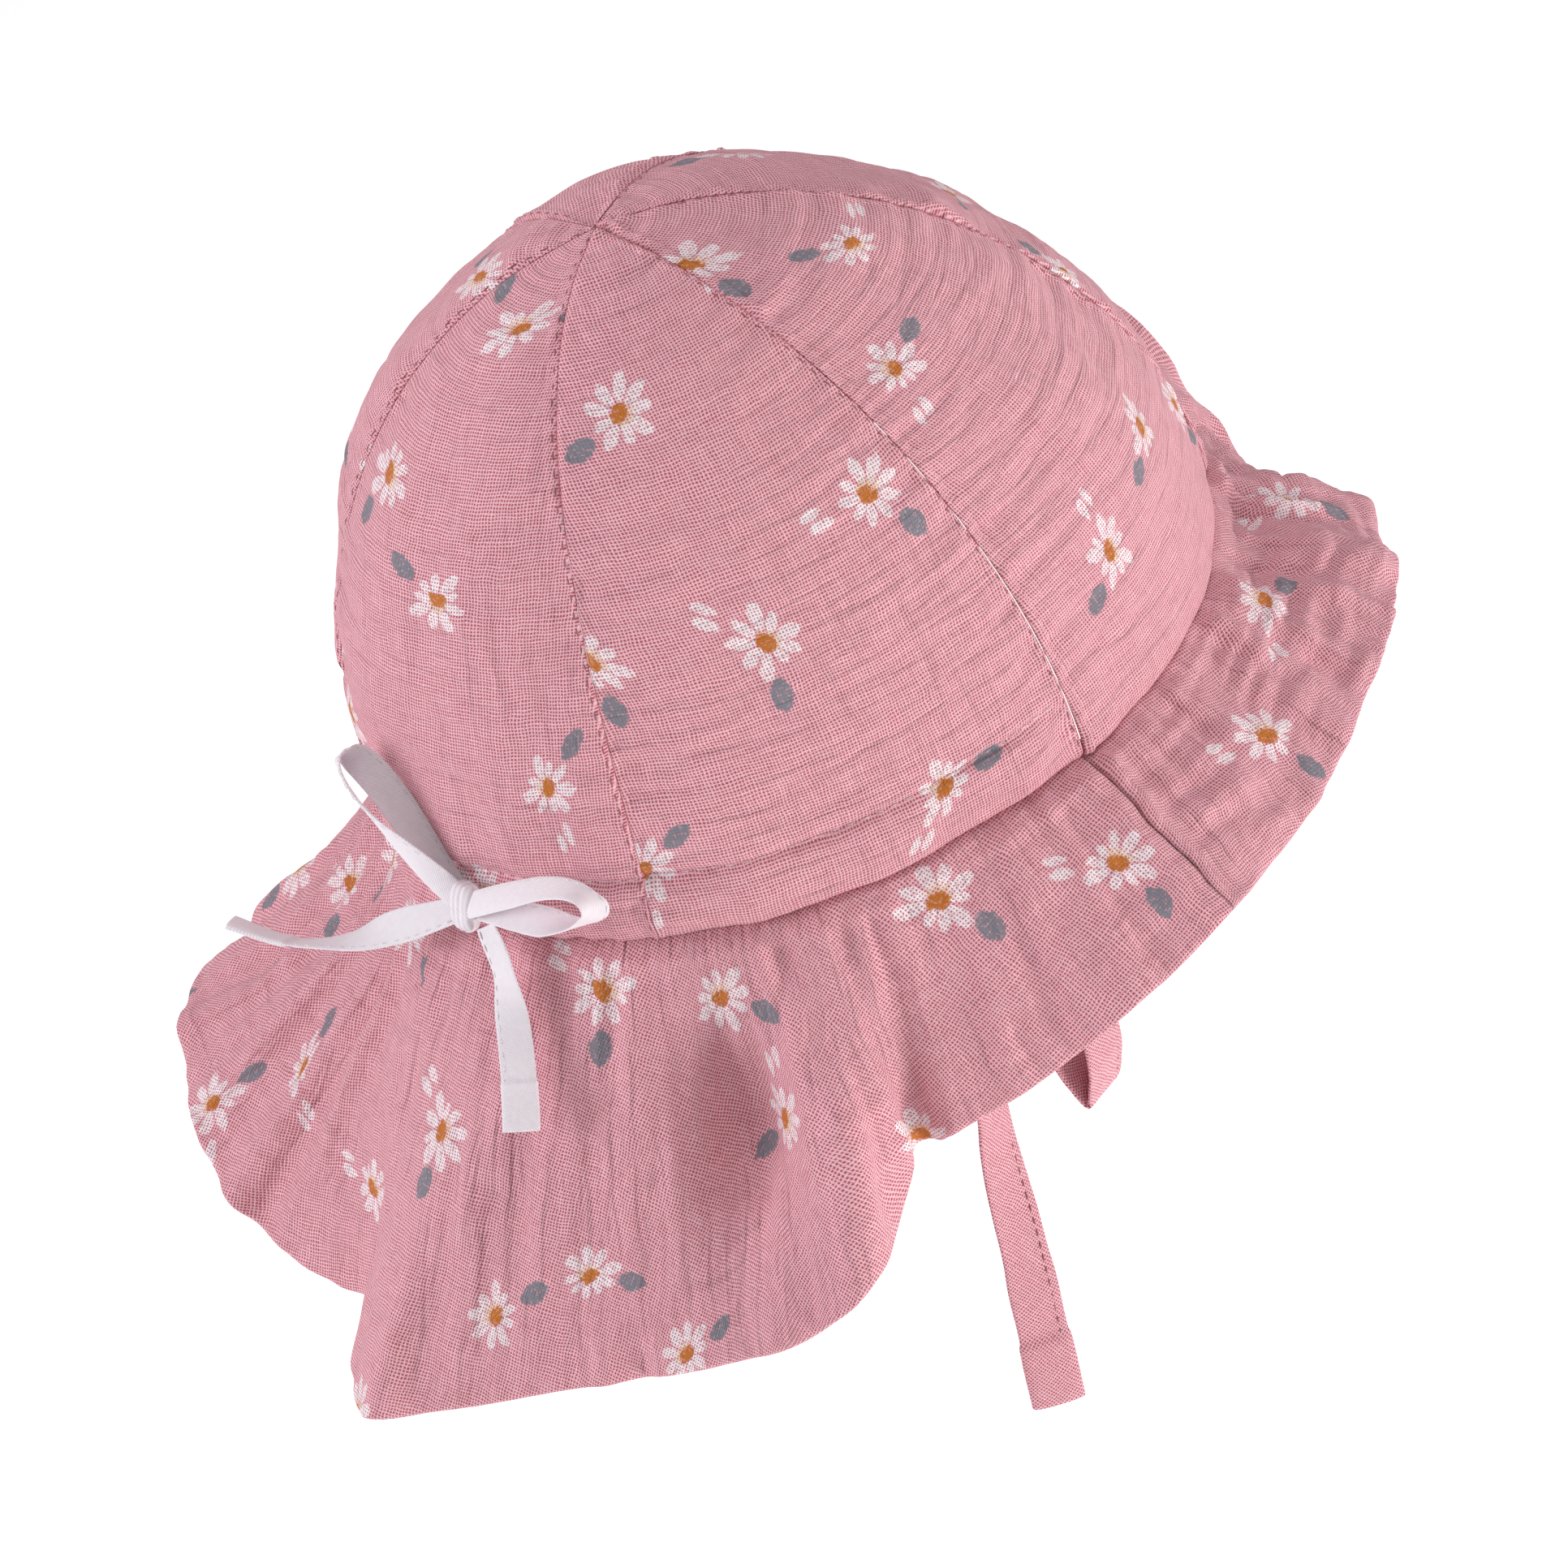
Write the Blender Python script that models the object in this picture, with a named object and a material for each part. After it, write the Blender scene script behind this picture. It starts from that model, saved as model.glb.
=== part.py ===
"""A baby's sun hat: six crown panels, a front brim, a long neck flap, two chin ties and a tape bow.

Metres, +Z up. The origin is the centre of the head opening, level with the crown's lower edge.
The brim faces -Y, the neck flap faces +Y and the wearer's right side is at -X.
A heading is an angle in degrees about +Z: 0 is the back centre and 90 the wearer's right side.
"""
import bpy
import bmesh
import numpy as np

# Head opening and crown
HEAD_HALF_WIDTH = 0.0685
HEAD_HALF_LENGTH = 0.0813
CROWN_HEIGHT = 0.0991
APEX_SET_BACK = 0.0135
WAIST_SET_FORWARD = 0.008
BACK_FULLNESS = 0.084
BACK_FULLNESS_HEADING = -38.0
BACK_FULLNESS_SPREAD = 45.0
SEAM_DIP = 0.016
PANEL_ANGLE = 60.0
PANEL_TIP_RADIUS = 0.0012

# Drawstring channel round the back half of the crown
CASING_HEIGHT = 0.013
CASING_FULLNESS = 0.0012

# Brim and neck flap, measured from the crown's lower edge to the hem
BRIM_REACH = 0.0271
BRIM_DROP = 0.0227
FLAP_REACH = 0.0605
FLAP_DROP = 0.0670

# Cloth walls and the clearance that neighbours keep
CROWN_WALL = 0.0012
RIM_WALL = 0.0015
SEAM_GAP = 0.0003

# Chin ties
TIE_WIDTH = 0.0095
TIE_WALL = 0.0014
TIE_DROP = 0.133

# Tape bow at the back centre
TAPE_WIDTH = 0.006
TAPE_WALL = 0.001
KNOT_WIDTH = 0.0058
KNOT_HEIGHT = 0.0086
KNOT_DEPTH = 0.0042
KNOT_CENTRE_HEIGHT = 0.0093
KNOT_TO_RIGHT = 0.0056
KNOT_LEAN = 20.0  # the top leans to the crown, in degrees
LEFT_LOOP_REACH = 0.028
RIGHT_LOOP_REACH = 0.027
# Half widths of each loop's opening, on the side of its first strand and of its second
LEFT_LOOP_ROOM = (0.0022, 0.0031)
RIGHT_LOOP_ROOM = (0.0034, 0.0034)
TAPE_PINCH = 0.75  # share of its width that the tape keeps at the knot
TAIL_REACH = 0.0450

# Hem of the front brim. Reach and drop are shares of BRIM_REACH and BRIM_DROP.
BRIM_HEM = (
    # heading, reach, drop
    (90, 1.00, 1.00),
    (105, 0.86, 1.10),
    (120, 0.93, 0.93),
    (134, 1.01, 0.88),
    (145, 1.06, 0.94),
    (154, 1.08, 1.00),
    (162, 1.05, 1.45),
    (171, 1.03, 1.90),
    (180, 1.00, 1.55),
    (190, 1.04, 0.25),
    (200, 1.06, 0.05),
    (213, 1.00, 0.35),
    (229, 0.92, 0.93),
    (248, 0.93, 1.02),
    (270, 1.00, 1.00),
)

# Hem of the neck flap. Reach and drop are shares of FLAP_REACH and FLAP_DROP.
FLAP_HEM = (
    # heading, reach, drop
    (-90, 0.448, 0.339),
    (-77, 0.47, 0.50),
    (-66, 0.57, 0.64),
    (-57, 0.72, 0.65),
    (-48, 0.85, 0.62),
    (-39, 0.90, 0.62),
    (-31, 0.89, 0.76),
    (-23, 0.81, 0.935),
    (-16, 0.68, 1.03),
    (-10, 0.65, 1.04),
    (-5, 0.85, 1.01),
    (0, 0.96, 0.995),
    (8, 0.86, 0.965),
    (20, 0.69, 0.935),
    (32, 0.65, 0.90),
    (41.5, 0.65, 0.83),
    (47, 0.62, 0.74),
    (50, 0.42, 0.75),
    (52.5, 0.25, 0.68),
    (56.5, 0.30, 0.61),
    (66, 0.37, 0.52),
    (78, 0.46, 0.38),
    (90, 0.448, 0.339),
)

# Hollow that the flap's cloth makes half way down, behind the right ear
FLAP_HOLLOW = 0.0065
FLAP_HOLLOW_HEADING = 35.0
FLAP_HOLLOW_SPREAD = 9.0

# How far round the hem's waves blend into each other where the cloth leaves the crown, in degrees
WAVE_BLEND = 14.0

# How the rim falls towards the hem, and how much sooner it falls where it slumps on the left
RIM_FALL = 1.12
LEFT_SLUMP = 0.60
LEFT_SLUMP_HEADING = -45.0
LEFT_SLUMP_SPREAD = 33.0

# Route of the right chin tie. Side and back are shares of the head's half width and half length,
# drop is a share of TIE_DROP, and turn is the heading in degrees that the tie's width lies along.
RIGHT_TIE_ROUTE = (
    # side, back, drop, turn
    (0.955, 0.098, -0.035, 0),
    (0.950, 0.102, 0.03, 0),
    (0.925, 0.108, 0.21, 0),
    (0.900, 0.107, 0.38, 3),
    (0.876, 0.110, 0.505, 6),
    (0.843, 0.117, 0.547, 8),
    (0.808, 0.130, 0.512, 10),
    (0.780, 0.160, 0.435, 18),
    (0.738, 0.221, 0.385, 34),
    (0.690, 0.277, 0.430, 28),
    (0.664, 0.308, 0.550, 12),
    (0.678, 0.344, 0.758, -14),
    (0.697, 0.394, 1.020, -32),
)

# The left chin tie hangs free on the other side.
LEFT_TIE_ROUTE = (
    # side, back, drop, turn
    (-0.955, 0.098, -0.035, 0),
    (-0.950, 0.102, 0.03, 0),
    (-0.925, 0.108, 0.25, 4),
    (-0.900, 0.125, 0.50, 10),
    (-0.885, 0.130, 0.75, 14),
    (-0.880, 0.120, 1.00, 12),
)

# Which way each loop points and which way it opens
LEFT_LOOP_WAY = (0.62, 0.0, 0.78)
LEFT_LOOP_OPENING = (0.0, 1.0, 0.0)
RIGHT_LOOP_WAY = (-0.96, -0.15, 0.25)
RIGHT_LOOP_OPENING = (0.0, -0.2, 1.0)

# How far the tape turns about its loop's direction, in degrees, from one end of the tape to the other
LEFT_LOOP_TURN = (
    # share of the tape, turn
    (0.0, 63),
    (0.3, 58),
    (0.42, 28),
    (0.52, -10),
    (0.65, -25),
    (0.85, -10),
    (1.0, 52),
)
RIGHT_LOOP_TURN = (
    # share of the tape, turn
    (0.0, 62),
    (0.12, 44),
    (0.22, 6),
    (0.32, -15),
    (0.55, -20),
    (0.7, 5),
    (0.85, 28),
    (1.0, 60),
)

# Tails of the bow, from the knot outwards. Side, out and up are shares of TAIL_REACH,
# and turn is how far the tape is turned about its own length, in degrees.
LEFT_TAIL_ROUTE = (
    # side, out, up, turn
    (0.00, 0.00, 0.00, 35),
    (0.25, 0.12, -0.09, 45),
    (0.52, 0.22, -0.19, 105),
    (0.74, 0.31, -0.20, 122),
    (0.92, 0.40, -0.11, 118),
)
RIGHT_TAIL_ROUTE = (
    # side, out, up, turn
    (0.00, 0.00, 0.00, 140),
    (-0.085, 0.045, -0.13, 140),
    (-0.15, 0.115, -0.27, 100),
    (-0.23, 0.21, -0.40, 80),
    (-0.30, 0.31, -0.53, 76),
    (-0.345, 0.37, -0.585, 76),
)

PINK = (0.72, 0.36, 0.40, 1.0)
WHITE = (0.86, 0.84, 0.86, 1.0)


def clear_scene():
    for item in list(bpy.data.objects):
        bpy.data.objects.remove(item, do_unlink=True)


def cloth_material(name, colour):
    material = bpy.data.materials.new(name)
    material.use_nodes = True
    shader = material.node_tree.nodes["Principled BSDF"]
    shader.inputs["Base Color"].default_value = colour
    shader.inputs["Roughness"].default_value = 0.9
    material.diffuse_color = colour
    return material


def closed_solid(name, outer, inner, material):
    """Close the space between two matching grids of points into one solid."""
    rows, columns = outer.shape[:2]
    points = np.concatenate([outer.reshape(-1, 3), inner.reshape(-1, 3)])
    index = np.arange(rows * columns).reshape(rows, columns)
    below = index + rows * columns

    def quads(a):
        return np.stack([a[:-1, :-1], a[1:, :-1], a[1:, 1:], a[:-1, 1:]], -1).reshape(-1, 4)

    def wall(a, b):
        return np.stack([a[:-1], b[:-1], b[1:], a[1:]], -1)

    faces = [quads(index), quads(below)[:, ::-1]]
    faces.append(wall(index[0], below[0])[:, ::-1])
    faces.append(wall(index[-1], below[-1]))
    faces.append(wall(index[:, 0], below[:, 0]))
    faces.append(wall(index[:, -1], below[:, -1])[:, ::-1])
    mesh = bpy.data.meshes.new(name)
    mesh.from_pydata(points.tolist(), [], np.concatenate(faces).tolist())
    mesh.materials.append(material)
    shape = bmesh.new()
    shape.from_mesh(mesh)
    bmesh.ops.recalc_face_normals(shape, faces=shape.faces)
    shape.to_mesh(mesh)
    shape.free()
    solid = bpy.data.objects.new(name, mesh)
    bpy.context.collection.objects.link(solid)
    return solid


def read_table(table, at):
    """Smooth curve through the table's rows, read at the values of its first column."""
    rows = np.array(table, float)
    key, values = rows[:, 0], rows[:, 1:]
    slope = np.gradient(values, key, axis=0)
    place = np.clip(np.searchsorted(key, at, side="right") - 1, 0, len(key) - 2)
    width = (key[place + 1] - key[place])[..., None]
    s = (at - key[place])[..., None] / width
    start, end = values[place], values[place + 1]
    rise = s * s * (3 - 2 * s)
    bend = s * (1 - s) ** 2 * width * slope[place] - s * s * (1 - s) * width * slope[place + 1]
    return start + (end - start) * rise + bend


def unit(vectors):
    return vectors / np.linalg.norm(vectors, axis=-1, keepdims=True)


def outward(heading):
    angle = np.radians(heading)
    return np.stack([-np.sin(angle), np.cos(angle), 0 * angle], -1)


def head_line(heading, inset=0.0):
    """The crown's lower edge, an ellipse."""
    angle = np.radians(heading)
    side = (HEAD_HALF_WIDTH - inset) * np.sin(angle)
    return np.stack([-side, (HEAD_HALF_LENGTH - inset) * np.cos(angle), 0 * angle], -1)


def wrapped(heading):
    return (heading + 180.0) % 360.0 - 180.0


def casing_share(heading):
    """1 round the back half of the crown, easing to 0 at the side seams."""
    ease = np.clip((90.0 - np.abs(wrapped(heading))) / 6.0, 0, 1)
    return ease * ease * (3 - 2 * ease)


def crown_point(heading, climb):
    """A point of the crown's outer face. Climb runs from 0 at the lower edge to 1 at the apex."""
    angle = np.clip(climb, 0, 1) * np.pi / 2
    inwards = np.maximum(np.cos(angle), 0) ** 0.98
    up = np.sin(angle) ** 1.105
    middle = np.sin(np.pi * np.clip(climb, 0, 1)) ** 0.8
    from_seam = 2 * np.abs(heading / PANEL_ANGLE - 0.5 - np.round(heading / PANEL_ANGLE - 0.5))
    around = wrapped(heading - BACK_FULLNESS_HEADING) / BACK_FULLNESS_SPREAD
    full = 1 + BACK_FULLNESS * np.exp(-around ** 2) * middle
    full = full - SEAM_DIP * ((1 - from_seam) ** 2 - 0.3) * middle
    point = head_line(heading) * (inwards * full)[..., None]
    height = CROWN_HEIGHT * up
    band = np.sin(np.pi * np.clip(height / CASING_HEIGHT, 0, 1)) * casing_share(heading)
    point = point + outward(heading) * (CASING_FULLNESS * band)[..., None]
    point[..., 1] += APEX_SET_BACK * up ** 1.5 - WAIST_SET_FORWARD * up * (1 - up)
    point[..., 2] = height
    return point


def hem_size(heading):
    """Reach and drop of the hem at a heading, from the brim's table or the flap's."""
    turned = np.where(heading > 270, heading - 360, heading)
    turned = np.where(turned < -90, turned + 360, turned)
    brim = read_table(BRIM_HEM, np.clip(turned, 90, 270)) * (BRIM_REACH, BRIM_DROP)
    flap = read_table(FLAP_HEM, np.clip(turned, -90, 90)) * (FLAP_REACH, FLAP_DROP)
    return np.where((turned > 90)[..., None], brim, flap)


def rim_point(heading, along):
    """A point of the upper face of brim or flap. Along runs from 0 at the crown to 1 at the hem."""
    waves = hem_size(heading)
    steps = np.linspace(-1.5, 1.5, 19)
    weights = np.cos(steps * np.pi / 3.2) ** 2
    near = sum(weight * hem_size(heading + WAVE_BLEND * step) for weight, step in zip(weights, steps))
    calm = near / weights.sum()
    size = calm + (waves - calm) * (along ** 1.4)[..., None]
    hollow = np.exp(-(wrapped(heading - FLAP_HOLLOW_HEADING) / FLAP_HOLLOW_SPREAD) ** 2)
    reach = size[..., 0] * along ** 0.95 - FLAP_HOLLOW * hollow * np.sin(np.pi * along) ** 2
    point = head_line(heading) + outward(heading) * reach[..., None]
    slump = LEFT_SLUMP * np.exp(-(wrapped(heading - LEFT_SLUMP_HEADING) / LEFT_SLUMP_SPREAD) ** 2)
    point[..., 2] = -SEAM_GAP - size[..., 1] * along ** (RIM_FALL - slump)
    return point


def face_normals(surface, first, second, step_first, step_second):
    """Unit normals of a surface: the way its second parameter runs, crossed with the first's."""
    low = np.clip(second - step_second, 0, 1)
    high = np.clip(second + step_second, 0, 1)
    across = surface(first + step_first, second) - surface(first - step_first, second)
    along = surface(first, high) - surface(first, low)
    return unit(np.cross(along, across))


def crown_panel(name, middle, material):
    band = np.array([0, 0.18, 0.5, 0.82, 1.0, 1.25]) * CASING_HEIGHT / CROWN_HEIGHT
    low = np.arcsin(band ** (1 / 1.105)) / (np.pi / 2)
    tip = np.arccos(PANEL_TIP_RADIUS / HEAD_HALF_WIDTH) / (np.pi / 2)
    share = np.linspace(0, 1, 12)[1:]
    climb = np.concatenate([low, low[-1] + (tip - low[-1]) * share ** 0.92])
    across = np.linspace(-1, 1, 11)
    climb, across = np.meshgrid(climb, across, indexing="ij")
    radius = np.linalg.norm(crown_point(middle + 0 * climb, climb)[..., :2]
                            - crown_point(middle + 0 * climb, climb * 0 + 1)[..., :2], axis=-1)
    trim = np.degrees(np.arcsin(np.minimum(0.5 * SEAM_GAP / radius, 0.3)))
    heading = middle + across * (PANEL_ANGLE / 2 - trim)
    outer = crown_point(heading, climb)
    inwards = face_normals(crown_point, heading, climb, 0.4, 0.004)
    inwards[0, :, 2] = 0
    inner = outer + unit(inwards) * CROWN_WALL
    closed_solid(name, outer, inner, material)


def rim_sheet(name, first, last, columns, rows, material):
    """Brim or flap between two headings, trimmed by half a gap at each side seam."""
    heading = np.linspace(first, last, columns)
    along = np.linspace(0, 1, rows)
    heading, along = np.meshgrid(heading, along, indexing="ij")
    outer = rim_point(heading, along)
    normal = face_normals(rim_point, heading, along, 0.3, 0.01)
    inner = outer - normal * RIM_WALL
    for edge, way in ((0, 1), (-1, -1)):
        side = way * outward(heading[edge] + 90)
        outer[edge] += side * SEAM_GAP / 2
        inner[edge] += side * SEAM_GAP / 2
    closed_solid(name, outer, inner, material)


def ribbon(name, centre, across, width, wall, material):
    """A flat strip of constant wall along a route, its width lying along the given directions."""
    tangent = unit(np.gradient(centre, axis=0))
    across = unit(across - tangent * np.sum(across * tangent, -1, keepdims=True))
    normal = np.cross(tangent, across)
    half = np.broadcast_to(width, (len(centre),))[:, None] / 2
    edges = np.stack([centre - across * half, centre + across * half], 1)
    lift = normal[:, None, :] * wall / 2
    closed_solid(name, edges + lift, edges - lift, material)


def smooth_route(table, scale, count):
    """Points at even steps along a smooth curve through the table's rows."""
    rows = np.array(table, float) * scale
    length = np.concatenate([[0], np.cumsum(np.linalg.norm(np.diff(rows[:, :3], axis=0), axis=1))])
    return read_table(np.column_stack([length, rows]), np.linspace(0, length[-1], count))


def chin_tie(name, table, count, material):
    scale = (-HEAD_HALF_WIDTH, HEAD_HALF_LENGTH, -TIE_DROP, 1)
    route = smooth_route(table, scale, count)
    ribbon(name, route[:, :3], outward(route[:, 3]), TIE_WIDTH, TIE_WALL, material)


def turned(across, axis, degrees):
    """Directions turned about an axis that they stand square to."""
    angle = np.radians(degrees)[:, None]
    return np.cos(angle) * across + np.sin(angle) * np.cross(axis, across)


def bow_loop(name, root, way, opening, turns, length, room, material):
    """A closed teardrop loop of tape that leaves the knot and comes back over itself."""
    way = unit(np.array(way, float))
    opening = np.array(opening, float)
    opening = unit(opening - way * (opening @ way))
    s = np.linspace(0, 1, 25)
    across = turned(np.cross(way, opening), way, read_table(turns, s)[:, 0])
    out = length * np.sin(np.pi * s) + TAPE_WALL
    apart = -np.where(s < 0.5, *room) * np.sin(2 * np.pi * s)
    beside = (2 * s - 1)[:, None] * 0.8 * TAPE_WALL * np.cross(across[0], way)
    centre = root + out[:, None] * way + apart[:, None] * opening + beside
    pinch = TAPE_PINCH + (1 - TAPE_PINCH) * np.clip(6 * np.minimum(s, 1 - s), 0, 1)
    ribbon(name, centre, across, TAPE_WIDTH * pinch, TAPE_WALL, material)


def bow_tail(name, root, table, material):
    scale = (TAIL_REACH, TAIL_REACH, TAIL_REACH, 1)
    route = smooth_route(table, scale, 17)
    way = unit(np.gradient(route[:, :3], axis=0))
    upright = unit(np.array([0, 0, 1]) - way * way[:, 2:])
    across = turned(upright, way, route[:, 3])
    pinch = TAPE_PINCH + (1 - TAPE_PINCH) * np.clip(np.linspace(0, 5, 17), 0, 1)
    ribbon(name, root + route[:, :3], across, TAPE_WIDTH * pinch, TAPE_WALL, material)


def bow_knot(centre, material):
    """The tape wound round the middle of the bow: a block rounded front and back."""
    turn = np.linspace(0, 2 * np.pi, 17)[:-1]
    depth = KNOT_DEPTH / 2 * np.sign(np.sin(turn)) * np.abs(np.sin(turn)) ** 0.6
    height = KNOT_HEIGHT / 2 * np.sign(np.cos(turn)) * np.abs(np.cos(turn)) ** 0.6
    lean = np.radians(KNOT_LEAN)
    forwards = np.array([0, np.cos(lean), np.sin(lean)])
    upright = np.array([0, -np.sin(lean), np.cos(lean)])
    block = depth[:, None] * forwards + height[:, None] * upright
    rings = []
    for side, swell in ((-1, 0.8), (-0.6, 1.0), (0.6, 1.0), (1, 0.8)):
        rings.append(centre + (side * KNOT_WIDTH / 2, 0, 0) + swell * block)
    points = np.concatenate(rings)
    count = len(turn)
    faces = [list(range(count)), list(range(3 * count, 4 * count))[::-1]]
    for ring in range(3):
        for step in range(count):
            ahead = (step + 1) % count
            here = ring * count
            faces.append([here + step, here + count + step, here + count + ahead, here + ahead])
    mesh = bpy.data.meshes.new("bow_knot")
    mesh.from_pydata(points.tolist(), [], faces)
    mesh.materials.append(material)
    shape = bmesh.new()
    shape.from_mesh(mesh)
    bmesh.ops.recalc_face_normals(shape, faces=shape.faces)
    shape.to_mesh(mesh)
    shape.free()
    bpy.context.collection.objects.link(bpy.data.objects.new("bow_knot", mesh))


def build():
    clear_scene()
    muslin = cloth_material("muslin_pink", PINK)
    tape = cloth_material("tape_white", WHITE)

    crown_panel("crown_back", 0, muslin)
    crown_panel("crown_back_right", 60, muslin)
    crown_panel("crown_front_right", 120, muslin)
    crown_panel("crown_front", 180, muslin)
    crown_panel("crown_front_left", 240, muslin)
    crown_panel("crown_back_left", 300, muslin)

    rim_sheet("brim_front", 90, 270, 61, 6, muslin)
    rim_sheet("neck_flap", -90, 90, 91, 9, muslin)

    chin_tie("tie_right", RIGHT_TIE_ROUTE, 61, muslin)
    chin_tie("tie_left", LEFT_TIE_ROUTE, 25, muslin)

    lean = np.radians(KNOT_LEAN)
    behind_knot = crown_point(*np.meshgrid(np.linspace(-3, 7, 9), np.linspace(0, 0.12, 25)))
    leaned = behind_knot[..., 1] + (behind_knot[..., 2] - KNOT_CENTRE_HEIGHT) * np.tan(lean)
    standing = leaned.max() + SEAM_GAP + KNOT_DEPTH / 2 / np.cos(lean)
    centre = np.array([-KNOT_TO_RIGHT, standing, KNOT_CENTRE_HEIGHT])
    side = np.array([KNOT_WIDTH / 2 + 3 * SEAM_GAP, 0, 0])
    quarter = np.array([0, -np.sin(lean), np.cos(lean)]) * KNOT_HEIGHT / 4
    tail_clear = np.array([TAPE_WALL, 0, 0])
    bow_knot(centre, tape)
    bow_loop("bow_loop_right", centre - side + 0.6 * quarter, RIGHT_LOOP_WAY, RIGHT_LOOP_OPENING,
             RIGHT_LOOP_TURN, RIGHT_LOOP_REACH, RIGHT_LOOP_ROOM, tape)
    bow_loop("bow_loop_left", centre + side + quarter, LEFT_LOOP_WAY, LEFT_LOOP_OPENING,
             LEFT_LOOP_TURN, LEFT_LOOP_REACH, LEFT_LOOP_ROOM, tape)
    bow_tail("bow_tail_left", centre + side - quarter, LEFT_TAIL_ROUTE, tape)
    bow_tail("bow_tail_right", centre - side - quarter - tail_clear, RIGHT_TAIL_ROUTE, tape)


build()
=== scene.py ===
# %% [markdown]
# # A baby's sun hat in printed muslin
# The hat has six crown panels, a front brim, a long neck flap, two chin ties and a tape bow.
# The imported model already holds each of these as a plain solid of the right size, so this lesson
# replaces every solid by a finely modelled piece of cloth in the same place, and gives it its weave,
# its print and its stitches. The first step loads the imported model.

# %% Load the frame
import math
import bpy
import numpy as np
from mathutils import Matrix, Vector


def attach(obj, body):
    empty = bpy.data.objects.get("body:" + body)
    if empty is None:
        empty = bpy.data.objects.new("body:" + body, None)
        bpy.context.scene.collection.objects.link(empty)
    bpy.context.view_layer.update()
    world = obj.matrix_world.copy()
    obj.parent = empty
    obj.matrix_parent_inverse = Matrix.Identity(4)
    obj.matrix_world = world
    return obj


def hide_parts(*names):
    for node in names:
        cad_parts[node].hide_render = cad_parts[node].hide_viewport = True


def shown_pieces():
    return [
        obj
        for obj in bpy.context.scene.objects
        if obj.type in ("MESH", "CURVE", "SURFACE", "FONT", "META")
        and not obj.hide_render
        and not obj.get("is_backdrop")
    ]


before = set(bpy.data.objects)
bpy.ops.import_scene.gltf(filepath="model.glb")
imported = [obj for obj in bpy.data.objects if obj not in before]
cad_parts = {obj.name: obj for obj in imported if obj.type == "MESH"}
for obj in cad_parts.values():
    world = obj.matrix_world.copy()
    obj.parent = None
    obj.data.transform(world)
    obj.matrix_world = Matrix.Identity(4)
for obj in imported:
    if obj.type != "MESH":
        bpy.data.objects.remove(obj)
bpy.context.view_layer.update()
print("nodes:", ", ".join(sorted(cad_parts)))

# %% [markdown]
# ## Camera
# The hat is seen from behind and above on the wearer's right, tipped a little in the picture.
# A camera can be aimed with a constraint, but a rotation worked out from azimuth, elevation and
# roll keeps no live link and can be read as a real viewpoint, so it is built from three axes.

# %% Camera
VIEW_AZIMUTH = math.radians(235.974)
VIEW_ELEVATION = math.radians(36.215)
VIEW_ROLL = math.radians(18.708)
VIEW_DISTANCE = 1.0523
VIEW_TARGET = np.array([-0.00422, 0.01637, -0.01728])
LENS_MM = 137.37
SENSOR_MM = 36.0


def unit(vectors):
    """Each vector divided by its length."""
    return vectors / np.linalg.norm(vectors, axis=-1, keepdims=True)


def camera_axes(azimuth, elevation, roll):
    """Right, up and back of a view: back points from the target to the camera, roll turns the picture."""
    back = np.array([math.sin(azimuth) * math.cos(elevation),
                     -math.cos(azimuth) * math.cos(elevation), math.sin(elevation)])
    level = unit(np.cross([0, 0, 1], back))
    upright = np.cross(back, level)
    up = math.cos(roll) * upright + math.sin(roll) * level
    return np.cross(up, back), up, back


def placed(place, right, up, back):
    """The matrix of an object at a place whose local X, Y and Z are right, up and back."""
    turn = Matrix((Vector(right), Vector(up), Vector(back))).transposed()
    return Matrix.Translation(Vector(place)) @ turn.to_4x4()


picture_right, picture_up, picture_back = camera_axes(VIEW_AZIMUTH, VIEW_ELEVATION, VIEW_ROLL)
camera_data = bpy.data.cameras.new("camera")
camera_data.lens = LENS_MM
camera_data.sensor_width = SENSOR_MM
camera_data.clip_start = 0.05
camera_data.clip_end = 20.0
camera = bpy.data.objects.new("camera", camera_data)
bpy.context.scene.collection.objects.link(camera)
camera.matrix_world = placed(VIEW_TARGET + picture_back * VIEW_DISTANCE,
                             picture_right, picture_up, picture_back)
bpy.context.scene.camera = camera
print("camera at", [round(x, 3) for x in camera.matrix_world.translation])

# %% [markdown]
# ## Light and floor
# The cloth is lit by two broad soft lamps, a slightly warm one low on the picture's right and a cooler
# one on its left, so that the crinkles show and the panel between them stays a little darker. A weak
# third one lights the top. Lamps far away and small would cut hard shadows into the crinkles. The
# floor is plain and pale and lies well below the hat, because a head holds the hat up.

# %% Light and floor
LAMP_DISTANCE = 1.5
WORLD_STRENGTH = 0.38
FLOOR_HEIGHT = -0.62
FLOOR_HALF = 6.0
FLOOR_PALE = (0.92, 0.92, 0.92, 1.0)
FLOOR_GLOW = 0.5
LAMPS = (
    # name, toward the picture's right, up and back, size, power, colour
    ("key_lamp", (0.90, -0.35, 0.25), 0.5, 19.0, (1.0, 0.985, 0.955)),
    ("side_lamp", (-0.92, -0.05, 0.38), 0.9, 14.5, (0.96, 0.965, 1.0)),
    ("top_lamp", (0.10, 0.83, 0.55), 0.8, 8.0, (0.98, 0.98, 1.0)),
)


def soft_lamp(name, toward, size, power, colour):
    """A square area lamp in the given direction of the picture from the hat, facing the hat."""
    back = unit(toward[0] * picture_right + toward[2] * picture_back + toward[1] * picture_up)
    right = unit(np.cross([0, 0, 1], back))
    lamp = bpy.data.lights.new(name, "AREA")
    lamp.shape = "SQUARE"
    lamp.size = size
    lamp.energy = power
    lamp.color = colour
    holder = bpy.data.objects.new(name, lamp)
    bpy.context.scene.collection.objects.link(holder)
    holder.matrix_world = placed(back * LAMP_DISTANCE, right, np.cross(back, right), back)


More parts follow.
